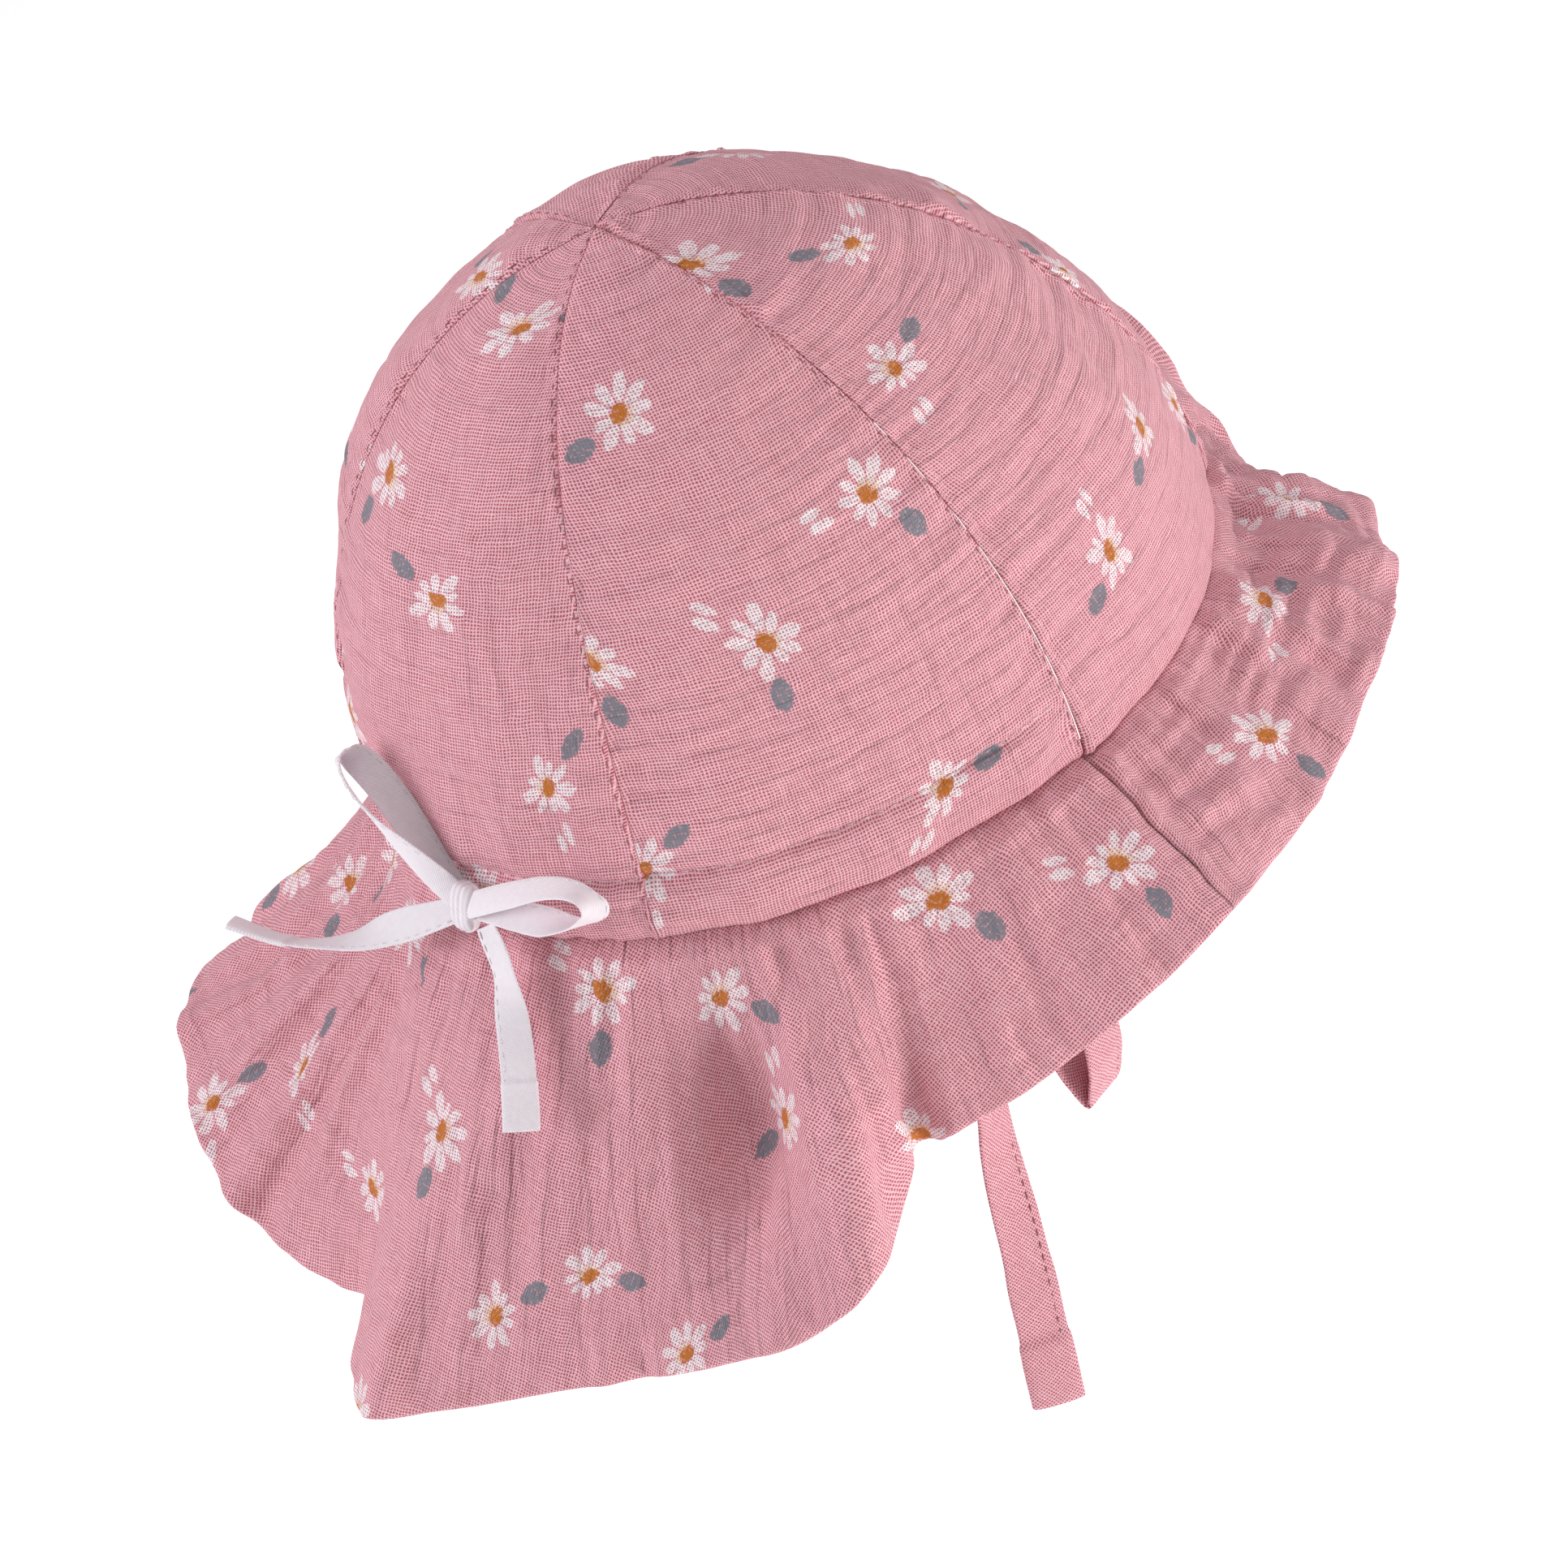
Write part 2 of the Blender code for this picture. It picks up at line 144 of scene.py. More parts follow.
for lamp in LAMPS:
    soft_lamp(*lamp)
world = bpy.data.worlds.new("studio")
world.use_nodes = True
background = world.node_tree.nodes["Background"]
background.inputs["Color"].default_value = (1.0, 0.985, 0.98, 1.0)
background.inputs["Strength"].default_value = WORLD_STRENGTH
bpy.context.scene.world = world
bpy.context.scene.view_settings.view_transform = "Standard"

floor_mesh = bpy.data.meshes.new("floor")
corners = [(x * FLOOR_HALF, y * FLOOR_HALF, FLOOR_HEIGHT) for x, y in ((-1, -1), (1, -1), (1, 1), (-1, 1))]
floor_mesh.from_pydata(corners, [], [(0, 1, 2, 3)])
floor = bpy.data.objects.new("floor", floor_mesh)
bpy.context.scene.collection.objects.link(floor)
floor_material = bpy.data.materials.new("pale_floor")
floor_material.use_nodes = True
floor_shader = floor_material.node_tree.nodes["Principled BSDF"]
for socket, value in {"Base Color": FLOOR_PALE, "Roughness": 0.9, "Specular IOR Level": 0.1,
                      "Emission Color": (1.0, 1.0, 1.0, 1.0), "Emission Strength": FLOOR_GLOW}.items():
    floor_shader.inputs[socket].default_value = value
floor_mesh.materials.append(floor_material)
floor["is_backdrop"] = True
print("floor", FLOOR_HEIGHT, "m below the head opening")

# %% [markdown]
# ## A small language for materials
# A material is a network of nodes. Wiring each node by hand hides the formula, so a small class
# wraps a socket and lets Python's own operators add the Math nodes. Everything that isn't
# arithmetic comes from one method that takes a node's type, its settings and its inputs.

# %% Signals


def maths(operation, swapped=False):
    """A method that adds one Math node for a signal, with the other value first when swapped."""

    def method(self, *others):
        values = (*others, self) if swapped else (self, *others)
        return self.finish.node("ShaderNodeMath", {"operation": operation}, dict(enumerate(values)))

    return method


class Signal:
    """A value that varies over a surface. Sums, products and powers of signals add Math nodes.

    One signal's angle with another is the arc tangent of the first over the second.
    """

    def __init__(self, finish, socket):
        self.finish = finish
        self.socket = socket

    __add__, __radd__ = maths("ADD"), maths("ADD", True)
    __sub__, __rsub__ = maths("SUBTRACT"), maths("SUBTRACT", True)
    __mul__, __rmul__ = maths("MULTIPLY"), maths("MULTIPLY", True)
    __truediv__, __rtruediv__ = maths("DIVIDE"), maths("DIVIDE", True)
    __pow__ = maths("POWER")
    sine, cosine, angle = maths("SINE"), maths("COSINE"), maths("ARCTAN2")
    floor, size, most = maths("FLOOR"), maths("ABSOLUTE"), maths("MAXIMUM")

    def between(self, low, high):
        """0 up to low, 1 from high on, eased in between. With low above high it falls instead."""
        settings = {"interpolation_type": "SMOOTHSTEP"}
        start, end, first, last = (low, high, 0.0, 1.0) if low < high else (high, low, 1.0, 0.0)
        inputs = {"Value": self, "From Min": start, "From Max": end, "To Min": first, "To Max": last}
        return self.finish.node("ShaderNodeMapRange", settings, inputs)


print("signals ready")

# %% [markdown]
# The second class is the material itself. Its method node is the only one that makes nodes, and
# the methods after it are short names for the few that a cloth needs again and again.

# %% Finishes


class Finish:
    """A material whose surface is one Principled shader, with nodes added as they are asked for."""

    def __init__(self, name, **fixed):
        self.material = bpy.data.materials.new(name)
        self.material.use_nodes = True
        self.tree = self.material.node_tree
        self.shader = self.tree.nodes["Principled BSDF"]
        for socket, value in fixed.items():
            self.shader.inputs[socket.replace("_", " ").title().replace("Ior", "IOR")].default_value = value

    def node(self, kind, settings, inputs, output=0):
        """Adds a node, sets its settings first and then its sockets, and returns one output."""
        made = self.tree.nodes.new(kind)
        for setting, value in settings.items():
            if setting == "stops":
                ramp = made.color_ramp.elements
                while len(ramp) < len(value):
                    ramp.new(0.5)
                for stop, (position, colour) in zip(ramp, value):
                    stop.position = position
                    stop.color = colour
            else:
                setattr(made, setting, value)
        for key, value in inputs.items():
            self.feed(made.inputs[key], value)
        return Signal(self, made.outputs[output])

    def feed(self, socket, value):
        """Links a signal into a socket, or sets the socket's own value."""
        if isinstance(value, Signal):
            self.tree.links.new(value.socket, socket)
        else:
            socket.default_value = value

    def blend(self, share, first, second):
        """A colour that goes from first to second as share goes from 0 to 1."""
        return self.node("ShaderNodeMix", {"data_type": "RGBA"}, {0: share, 6: first, 7: second}, 2)

    def paint(self, socket, value):
        self.feed(self.shader.inputs[socket], value)

    def spot(self, *parts):
        """A vector made of two or three signals."""
        return self.node("ShaderNodeCombineXYZ", {}, dict(enumerate(parts)))

    def plane(self, name):
        """A UV map of the piece as a whole, and its two coordinates on their own."""
        whole = self.node("ShaderNodeUVMap", {"uv_map": name}, {})
        return whole, *(self.node("ShaderNodeSeparateXYZ", {}, {0: whole}, axis) for axis in (0, 1))

    def noise(self, where, scale, detail, output=0, **more):
        """Smooth noise from 0 to 1 over a plane, or with output 1 its colour."""
        return self.node("ShaderNodeTexNoise", {"noise_dimensions": "2D"},
                         {"Vector": where, "Scale": scale, "Detail": detail, **more}, output)

    def chance(self, where, output):
        """One random number for each whole vector, or with output 1 a random colour."""
        return self.node("ShaderNodeTexWhiteNoise", {"noise_dimensions": "3D"}, {"Vector": where}, output)


def shade(red, green, blue):
    """A picture colour from 0 to 255 as the linear colour that shaders use."""
    part = np.array([red, green, blue]) / 255
    linear = np.where(part <= 0.04045, part / 12.92, ((part + 0.055) / 1.055) ** 2.4)
    return (*linear.tolist(), 1.0)


print("shader helper ready")

# %% [markdown]
# ## Muslin
# Double muslin is an open plain weave: pale yarns about 0.6 mm apart with darker gaps between them, which
# are painted shade over the rose cloth behind.
# Crossing two rows of waves gives the yarns, and the product of two slow cosines says which yarn
# lies on top. Noise lets the yarns wander and thicken, as they do in washed cotton.

# %% Weave
TWO_PI = 2 * math.pi
YARN_PITCH = 0.00058
YARN_WANDER = 0.00016
WEAVE_HEIGHT = 0.00013
# Painted shade: the rose cloth seen in the gaps between yarns, darkened as if in shadow
GAP_SHADE_ROSE = shade(168, 78, 90)
# Yarn colour: painted shade where a yarn lies low, a painted highlight where it lies on top
YARN_SHADED_ROSE = shade(210, 144, 154)
YARN_HIGHLIGHT_PINK = shade(240, 192, 202)


def weave(finish, across, along):
    """Cover and height of an open plain weave.

    Each yarn is a wave over its pitch. Slow and quick noise let it wander, a stretched noise makes
    it thinner and thicker, and fine noise frays it. The height of a yarn is its own wave, lifted
    where the product of the two half-speed cosines says that it crosses on top.
    """
    spot = finish.spot(across, along)
    drift = [finish.node("ShaderNodeSeparateColor", {}, {0: colour}, channel) - 0.5
             for colour in (finish.noise(spot, 75.0, 2.0, 1), finish.noise(spot, 330.0, 1.0, 1))
             for channel in (0, 1)]
    warp_turn = (across + drift[0] * YARN_WANDER * 8 + drift[2] * YARN_WANDER * 2.4) / YARN_PITCH
    weft_turn = (along + drift[1] * YARN_WANDER * 8 + drift[3] * YARN_WANDER * 2.4) / YARN_PITCH
    fray = (finish.noise(spot, 2600.0, 1.0) - 0.5) * 0.55
    slub_warp = finish.noise(finish.spot(warp_turn * 0.9, weft_turn * 0.11), 1.0, 1.0)
    slub_weft = finish.noise(finish.spot(warp_turn * 0.11, weft_turn * 0.9), 1.0, 1.0)
    warp = 0.5 + 0.5 * (warp_turn * TWO_PI).cosine() + (slub_warp - 0.5) * 0.55 + fray
    weft = 0.5 + 0.5 * (weft_turn * TWO_PI).cosine() + (slub_weft - 0.5) * 0.55 + fray
    top = (warp_turn * math.pi).cosine() * (weft_turn * math.pi).cosine()
    hole = warp.most(weft)
    height = (warp * (0.66 + 0.34 * top)).most(weft * (0.66 - 0.34 * top))
    return hole, height


print("yarns", YARN_PITCH * 1000, "mm apart")

# %% [markdown]
# ## Printed daisies
# The print is a scatter of small daisies, each with its own turn, stretch and petal lengths, a leaf
# beside it and now and then two loose petals. It could be a picture, but drawn by formulas it stays
# sharp at any distance. It lies in the cloth's own flat metres, on two shifted lattices of cells, so
# that it keeps its scale on every piece.

# %% Daisies
CELL = 0.050
DAISY_JITTER = 0.016
PETALS = 9
PETAL_REACH = 0.0063
PETAL_WHITE = shade(244, 234, 238)
CENTRE_OCHRE = shade(190, 112, 24)
CENTRE_PALE = shade(226, 188, 130)
LEAF_GREY = shade(112, 127, 136)


def daisies(finish, across, along, shift):
    """Masks of petals, centres and leaves for one lattice of cells.

    In each cell a random centre and turn are drawn. The angle round the centre is folded into one
    petal's wedge, where the petal is an ellipse that widens outwards; its length comes from a
    random number for that wedge. The leaf is where a parabola on each side of a line meets it.
    """
    column = across / CELL + shift
    row = along / CELL + shift * 1.37
    chance = finish.chance(finish.spot(column.floor(), row.floor(), shift), 1)
    draw = [finish.node("ShaderNodeSeparateColor", {}, {0: chance}, channel) for channel in range(3)]
    x = (column - column.floor() - 0.5) * CELL + (0.5 - draw[0]) * DAISY_JITTER
    y = (row - row.floor() - 0.5) * CELL + (0.5 - draw[1]) * DAISY_JITTER
    turn = draw[2] * TWO_PI
    cosine, sine = turn.cosine(), turn.sine()
    east = x * cosine + y * sine
    north = (y * cosine - x * sine) / (0.68 + 0.34 * draw[0])

    spot = finish.spot(across, along)
    ragged = finish.noise(spot, 900.0, 2.0) - 0.5
    bare = finish.noise(spot, 1500.0, 0.5).between(0.42, 0.33)

    def petal(east, north, reach):
        """A blunt petal that starts near the centre: an ellipse that widens outwards."""
        out = (east / reach - 0.62) / 0.37
        side = north / (reach * (0.13 + 0.075 * (east / reach)))
        return (out * out + side * side + ragged * 1.3).between(1.22, 0.78)

    distance = (east * east + north * north) ** 0.5
    angle = north.angle(east)
    wedge = (angle * (PETALS / TWO_PI) + 0.5).floor()
    folded = angle - wedge * (TWO_PI / PETALS)
    luck = finish.chance(finish.spot(wedge, draw[0] * 91.0, draw[1] * 57.0), 0)
    reach = PETAL_REACH * (0.76 + 0.44 * luck)
    tilted = folded + (luck - 0.5) * 0.16
    petals = petal(distance * tilted.cosine(), distance * tilted.sine(), reach)

    loose_east = (east * 0.82 + north * 0.57) * -1.0 - 0.0062
    loose_north = north * 0.82 - east * 0.57
    loose = petal(loose_east, loose_north, PETAL_REACH).most(
        petal(loose_east - 0.0012, loose_north - 0.0026, PETAL_REACH * 0.9))
    petals = petals.most(loose * draw[1].between(0.55, 0.56)) * (1.0 - 0.6 * bare)

    centre_east = east / 0.00195
    centre_north = (north + 0.0002) / 0.0015
    core = (centre_east * centre_east + centre_north * centre_north + ragged * 2.2).between(1.2, 0.8)
    fringe_north = centre_north - 0.75
    fringe = (centre_east * centre_east + fringe_north * fringe_north + ragged * 3.4).between(1.7, 1.0)

    leaf_along = (east * 0.8 - north * 0.6 - 0.0098) / 0.0034
    leaf_side = (north * 0.8 + east * 0.6 - 0.0012).size() / 0.0021
    leaf = (leaf_side ** 1.5 + leaf_along * leaf_along + ragged * 0.8).between(1.15, 0.75)
    return petals, core * (1.0 - 0.35 * bare), fringe, leaf * (1.0 - 0.3 * bare)


print("daisies with", PETALS, "petals, one in each cell of", CELL * 1000, "mm")

# %% [markdown]
# ## The finished muslin
# White pigment lies on the yarns and leaves the gaps pink, so the weave goes through the print.
# Washed muslin is also crinkled more finely than the mesh can follow. These finest crinkles and the
# yarns share one bump, and the larger ones come later as real displacement.

# %% Muslin
CRINKLES = (
    # pitch, length, height, turn
    (0.0026, 0.0170, 0.00115, 0.0),
    (0.0042, 0.0160, 0.00085, 1.45),
)


def fine_crinkles(finish):
    """Height in metres of crinkles too fine for the mesh: noise, long one way and short the other."""
    x, y = finish.plane("folds")[1:]
    total = 0.0
    for pitch, length, height, turn in CRINKLES:
        cosine, sine = math.cos(turn), math.sin(turn)
        place = finish.spot((x * cosine + y * sine) / pitch, (y * cosine - x * sine) / length)
        total = (finish.noise(place, 1.0, 1.5, Distortion=0.4) - 0.5) * height + total
    return total


def muslin(name, turned=0.0, printed=1.0):
    """Double muslin in the cloth's flat metres, its weave turned on the piece, printed or plain."""
    finish = Finish(name, roughness=0.95, specular_ior_level=0.08, sheen_weight=0.07, sheen_roughness=0.55)
    across, along = finish.plane("cloth")[1:]
    cosine, sine = math.cos(turned), math.sin(turned)
    hole, height = weave(finish, across * cosine + along * sine, along * cosine - across * sine)
    open_share = hole.between(0.75, 0.2)
    # Painted shade on low-lying yarn and a painted highlight where yarn lies on top
    cloth = finish.blend(height.between(0.2, 0.95), YARN_SHADED_ROSE, YARN_HIGHLIGHT_PINK)
    # Painted shade in the gaps between the yarns
    cloth = finish.blend(open_share * 0.95, cloth, GAP_SHADE_ROSE)
    if printed:
        first = daisies(finish, across, along, 0.0)
        second = daisies(finish, across, along, 0.5)
        petals, core, fringe, leaf = (a.most(b) for a, b in zip(first, second))
        # Print cover: none over the gaps, and fuller on yarn tops, which is partly the ink and partly a
        # painted highlight
        ink_and_highlight = (1.0 - 0.8 * open_share) * (0.72 + 0.28 * height.between(0.1, 0.6))
        cloth = finish.blend(leaf * (0.45 + 0.5 * ink_and_highlight), cloth, LEAF_GREY)
        cloth = finish.blend(petals * ink_and_highlight, cloth, PETAL_WHITE)
        cloth = finish.blend(fringe * ink_and_highlight * 0.45, cloth, CENTRE_PALE)
        cloth = finish.blend(core * (0.35 + 0.65 * ink_and_highlight), cloth, CENTRE_OCHRE)
    finish.paint("Base Color", cloth)
    relief = height * WEAVE_HEIGHT + fine_crinkles(finish)
    bump = finish.node("ShaderNodeBump", {}, {"Strength": 1.0, "Distance": 1.0, "Height": relief})
    finish.paint("Normal", bump)
    return finish.material


muslin_finish = muslin("muslin")
tie_finish = muslin("tie_muslin", math.radians(38), 0.0)
print("muslin:", len(muslin_finish.node_tree.nodes), "nodes")

# %% [markdown]
# ## Tape and sewing thread
# The bow is a smooth white woven tape with fine slanting lines, and threads are spun cotton: pink
# on the cloth, white on the tape. The twist of a thread this thin shows only as a slight sheen,
# so threads get a soft finish with a fine noise instead of modelled fibres.

# %% Tape and thread
TWILL_PITCH = 0.00034
TAPE_SHADE = shade(238, 231, 236)
# Painted shade for the furrows between the twill ridges
TAPE_FURROW_SHADE = shade(214, 203, 211)
THREAD_PINK = shade(234, 200, 206)
THREAD_ROSE = shade(160, 96, 104)
THREAD_WHITE = shade(236, 229, 233)


def twill_tape(name):
    """White tape: slanting ridges over its flat metres, broken up by noise along each ridge, with painted
    shade in the furrows between them.
    """
    finish = Finish(name, roughness=0.7, specular_ior_level=0.3, sheen_weight=0.2, sheen_roughness=0.4)
    flat, across, along = finish.plane("cloth")
    patch = finish.noise(flat, 700.0, 2.0) - 0.5
    slant = (across * 0.82 + along * 0.57) / TWILL_PITCH + patch * 0.5
    ridge = 0.5 + 0.5 * (slant * TWO_PI).sine() + patch * 0.5
    # The colour follows the ridges: painted shade in the furrows
    finish.paint("Base Color", finish.blend(ridge.between(-0.3, 0.8), TAPE_FURROW_SHADE, TAPE_SHADE))
    bump = finish.node("ShaderNodeBump", {}, {"Strength": 0.35, "Distance": 0.0001, "Height": ridge})
    finish.paint("Normal", bump)
    return finish.material


def thread(name, colour):
    """Spun thread: one colour, darkened here and there by fine noise in Object coordinates."""
    finish = Finish(name, roughness=0.75, sheen_weight=0.2)
    place = finish.node("ShaderNodeTexCoord", {}, {}, 3)
    fibre = finish.node("ShaderNodeTexNoise", {}, {"Vector": place, "Scale": 2600.0, "Detail": 1.0})
    darker = tuple(0.72 * part for part in colour[:3]) + (1.0,)
    finish.paint("Base Color", finish.blend(fibre.between(0.35, 0.65), darker, colour))
    return finish.material


tape_finish = twill_tape("white_tape")
thread_pink = thread("pink_thread", THREAD_PINK)
thread_rose = thread("rose_thread", THREAD_ROSE)
thread_white = thread("white_thread", THREAD_WHITE)
print("tape and threads ready")

# %% [markdown]
# ## Curves and noise
# Folds in cloth are soft, so the shapes below are made of a few smooth curves: a bell, an eased step
# and noise. The noise is worked out with numpy from seeded random numbers, so each run is the same.

# %% Curves and noise
LATTICE = 256


def bell(x):
    """1 in the middle, falling to 0 on both sides as a Gaussian."""
    return np.exp(-x ** 2)


def eased(x):
    """0 up to 0 and 1 from 1 on, with a smooth cubic step in between."""
    x = np.clip(x, 0, 1)
    return x * x * (3 - 2 * x)


def boxy(wave, power):
    """A wave from -1 to 1 whose size is raised to a power below 1, which squares it up."""
    return np.sign(wave) * np.abs(wave) ** power


def length_along(line):
    """Running length of a line of points, from 0 at its first point."""
    return np.concatenate([[0], np.cumsum(np.linalg.norm(np.diff(line, axis=0), axis=1))])


def soft_noise(x, y, seed):
    """Smooth noise from -1 to 1: random values on a unit lattice, blended by a quintic step."""
    values = np.random.default_rng(seed).uniform(-1, 1, (LATTICE, LATTICE))
    left, low = np.floor(x).astype(int), np.floor(y).astype(int)
    s, t = x - left, y - low
    s, t = (p ** 3 * (p * (6 * p - 15) + 10) for p in (s, t))
    lower, upper = (values[left % LATTICE, (low + up) % LATTICE] * (1 - s)
                    + values[(left + 1) % LATTICE, (low + up) % LATTICE] * s for up in (0, 1))
    return lower * (1 - t) + upper * t


def swell(x, y, size, seed):
    """Soft noise whose swells have the given length in x, length in y and height, all in metres."""
    return soft_noise(x / size[0], y / size[1], seed) * size[2]


def crinkle(x, y, size, seed):
    """Puckers of washed muslin, from about -1 to 1: noise with the given length in x and in y.

    A slow bend moves the puckers sideways, and a second, finer set lies over the first.
    """
    long, short = size
    bend = soft_noise(x / (1.7 * long), y / (1.7 * long), seed + 50) * 1.2
    first = soft_noise(x / long, y / short + bend, seed)
    second = soft_noise(1.9 * x / long + 5.3, 1.8 * y / short + bend, seed + 1)
    return 0.7 * first + 0.4 * second


print("noise repeats after", LATTICE, "steps")

# %% [markdown]
# ## From a grid of points to a sheet of cloth
# Every cloth piece is one surface: a grid of points worked out by a formula. The sheet gets its
# thickness from a second grid behind the first, and the two share their border points, so that
# the mesh is closed and its edges are soft folds and not sharp cut walls. Solidify could do this,
# but here the thickness also tapers towards the edge. The flat size in metres goes into a UV map
# called cloth, which the muslin reads.

# %% Sheet helpers
EDGE_EASE = np.array([0.0, 0.55, 0.85])


def grid_normals(points):
    """Unit normals of a grid: the tangent down its rows crossed with the tangent along its columns."""
    return unit(np.cross(np.gradient(points, axis=0), np.gradient(points, axis=1)))


def quads(index):
    """Faces of a grid of point numbers, wound so that they face along the grid's normals."""
    return np.stack([index[:-1, :-1], index[1:, :-1], index[1:, 1:], index[:-1, 1:]], -1).reshape(-1, 4)


def new_piece(name, points, faces, material):
    """A mesh piece in the row frame that rides on the hat's one body."""
    mesh = bpy.data.meshes.new(name)
    mesh.from_pydata(points.tolist(), [], faces)
    mesh.materials.append(material)
    mesh.shade_smooth()
    piece = bpy.data.objects.new(name, mesh)
    bpy.context.scene.collection.objects.link(piece)
    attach(piece, "root")
    return piece


def add_flat_map(piece, name, corners):
    """Writes one pair of flat coordinates for each face corner into a UV map."""
    layer = piece.data.uv_layers.new(name=name, do_init=False)
    layer.uv.foreach_set("vector", corners.astype(np.float32).ravel())


def edge_ease(rows, columns):
    """Thickness share of each grid point: 0 on the border, rising to 1 over a few steps."""
    row = np.minimum(np.arange(rows), np.arange(rows)[::-1])
    column = np.minimum(np.arange(columns), np.arange(columns)[::-1])
    ring = np.minimum(row[:, None], column[None, :])
    return np.where(ring < len(EDGE_EASE), EDGE_EASE[np.minimum(ring, len(EDGE_EASE) - 1)], 1.0)


def closed_sheet(name, face, wall, flat, material, folds):
    """A sheet whose back lies wall behind its face, with the border points shared by both.

    The folds map holds metres across and along the fine crinkles, which the material's bump reads.
    """
    rows, columns = face.shape[:2]
    back = face - grid_normals(face) * (wall * edge_ease(rows, columns))[..., None]
    front = np.arange(rows * columns).reshape(rows, columns)
    rear = front.copy()
    rear[1:-1, 1:-1] = rows * columns + np.arange((rows - 2) * (columns - 2)).reshape(rows - 2, columns - 2)
    points = np.concatenate([face.reshape(-1, 3), back[1:-1, 1:-1].reshape(-1, 3)])
    faces = np.concatenate([quads(front), quads(rear)[:, ::-1]])
    piece = new_piece(name, points, faces.tolist(), material)
    corners = np.concatenate([quads(front), quads(front)[:, ::-1]]).ravel()
    add_flat_map(piece, "cloth", flat.reshape(-1, 2)[corners])
    add_flat_map(piece, "folds", folds.reshape(-1, 2)[corners])
    return piece


def cloth_area(face):
    """Area of one face of the sheet, in square metres."""
    side = np.cross(face[1:, 1:] - face[:-1, :-1], face[:-1, 1:] - face[1:, :-1])
    return 0.5 * np.linalg.norm(side, axis=-1).sum()


print("sheet helpers ready")

# %% [markdown]
# ## The shape of the hat
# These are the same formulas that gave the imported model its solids, so that the cloth lies where
# the solids are. A heading is an angle about the upright axis: 0 is the back centre, 90 the wearer's
# right side. The crown's lower edge is an ellipse, and each of its points rises to the apex on a
# rounded line. Brim and flap leave that edge outwards and down to a hem whose reach and drop come
# from two short tables of waves.

# %% Crown formula
HEAD_HALF_WIDTH = 0.0685
HEAD_HALF_LENGTH = 0.0813
CROWN_HEIGHT = 0.0991
APEX_SET_BACK = 0.0135
WAIST_SET_FORWARD = 0.008
BACK_FULLNESS = 0.084
BACK_FULLNESS_HEADING = -38.0
BACK_FULLNESS_SPREAD = 45.0
SEAM_DIP = 0.016
PANEL_ANGLE = 60.0
CASING_HEIGHT = 0.013
CASING_FULLNESS = 0.0012


def outward(heading):
    """The level unit direction of a heading."""
    angle = np.radians(heading)
    return np.stack([-np.sin(angle), np.cos(angle), 0 * angle], -1)


def head_line(heading):
    """The crown's lower edge, an ellipse."""
    angle = np.radians(heading)
    return np.stack([-HEAD_HALF_WIDTH * np.sin(angle), HEAD_HALF_LENGTH * np.cos(angle), 0 * angle], -1)


def wrapped(heading):
    """The same heading between -180 and 180."""
    return (heading + 180.0) % 360.0 - 180.0


def casing_share(heading):
    """1 round the back half of the crown, easing to 0 at the side seams."""
    return eased((90.0 - np.abs(wrapped(heading))) / 6.0)


def crown_point(heading, climb):
    """A point of the crown's plain outer face. Climb runs from 0 at the lower edge to 1 at the apex."""
    angle = np.clip(climb, 0, 1) * np.pi / 2
    inwards = np.maximum(np.cos(angle), 0) ** 0.98
    up = np.sin(angle) ** 1.105
    middle = np.sin(np.pi * np.clip(climb, 0, 1)) ** 0.8
    from_seam = 2 * np.abs(heading / PANEL_ANGLE - 0.5 - np.round(heading / PANEL_ANGLE - 0.5))
    around = wrapped(heading - BACK_FULLNESS_HEADING) / BACK_FULLNESS_SPREAD
    full = 1 + BACK_FULLNESS * bell(around) * middle
    full = full - SEAM_DIP * ((1 - from_seam) ** 2 - 0.3) * middle
    point = head_line(heading) * (inwards * full)[..., None]
    height = CROWN_HEIGHT * up
    band = np.sin(np.pi * np.clip(height / CASING_HEIGHT, 0, 1)) * casing_share(heading)
    point = point + outward(heading) * (CASING_FULLNESS * band)[..., None]
    point[..., 1] += APEX_SET_BACK * up ** 1.5 - WAIST_SET_FORWARD * up * (1 - up)
    point[..., 2] = height
    return point


print("crown", round(2 * HEAD_HALF_WIDTH * 1000), "by", round(2 * HEAD_HALF_LENGTH * 1000), "mm")

# %% [markdown]
# ## Crown panels
# Each panel is a pointed gore. Its two side edges roll inwards into the seam, with a soft lip where
# the seam allowance lies under the cloth, and fine puckers run across the panel and fade away from
# the seam. Round the back half a row of stitches pulls a groove into the cloth above the channel of
# the drawstring. All of this is one height added along the plain crown's normal.

# %% Panel surface
PANEL_WALL = 0.0010
SEAM_ROLL = 0.0011
SEAM_DEPTH = 0.34
SEAM_LIP = 0.00045
LIP_WIDTH = 0.0021
DIMPLE_PITCH = 0.0029
CASING_GROOVE = 0.0010
GROOVE_WIDTH = 0.0008
EDGE_ROLL = 0.0019
# Lengths along the edge and up the panel, and heights, in metres
PUCKERS = (0.016, 0.0034)
PUCKER_HEIGHT = 0.00030
PUCKER_NEAR_SEAM = 0.00060
RIPPLES = (0.021, 0.017, 0.0009)
FALLS = (0.0075, 0.07, 0.00045)
GATHERS = (0.0028, 0.03, 0.0006)
# Panels, by their middle heading, that carry a full lip on the side of the lower headings
LAPPED_SIDES = {120: 1.0, 180: 1.0, 240: 1.0}
OTHER_LIP = 0.35


def seam_roll(distance, radius):
    """Depth of an edge that rolls inwards as a quarter circle over the given radius."""
    near = 1 - np.clip(distance / radius, 0, 1)
    return radius * (1 - np.sqrt(1 - near ** 2))


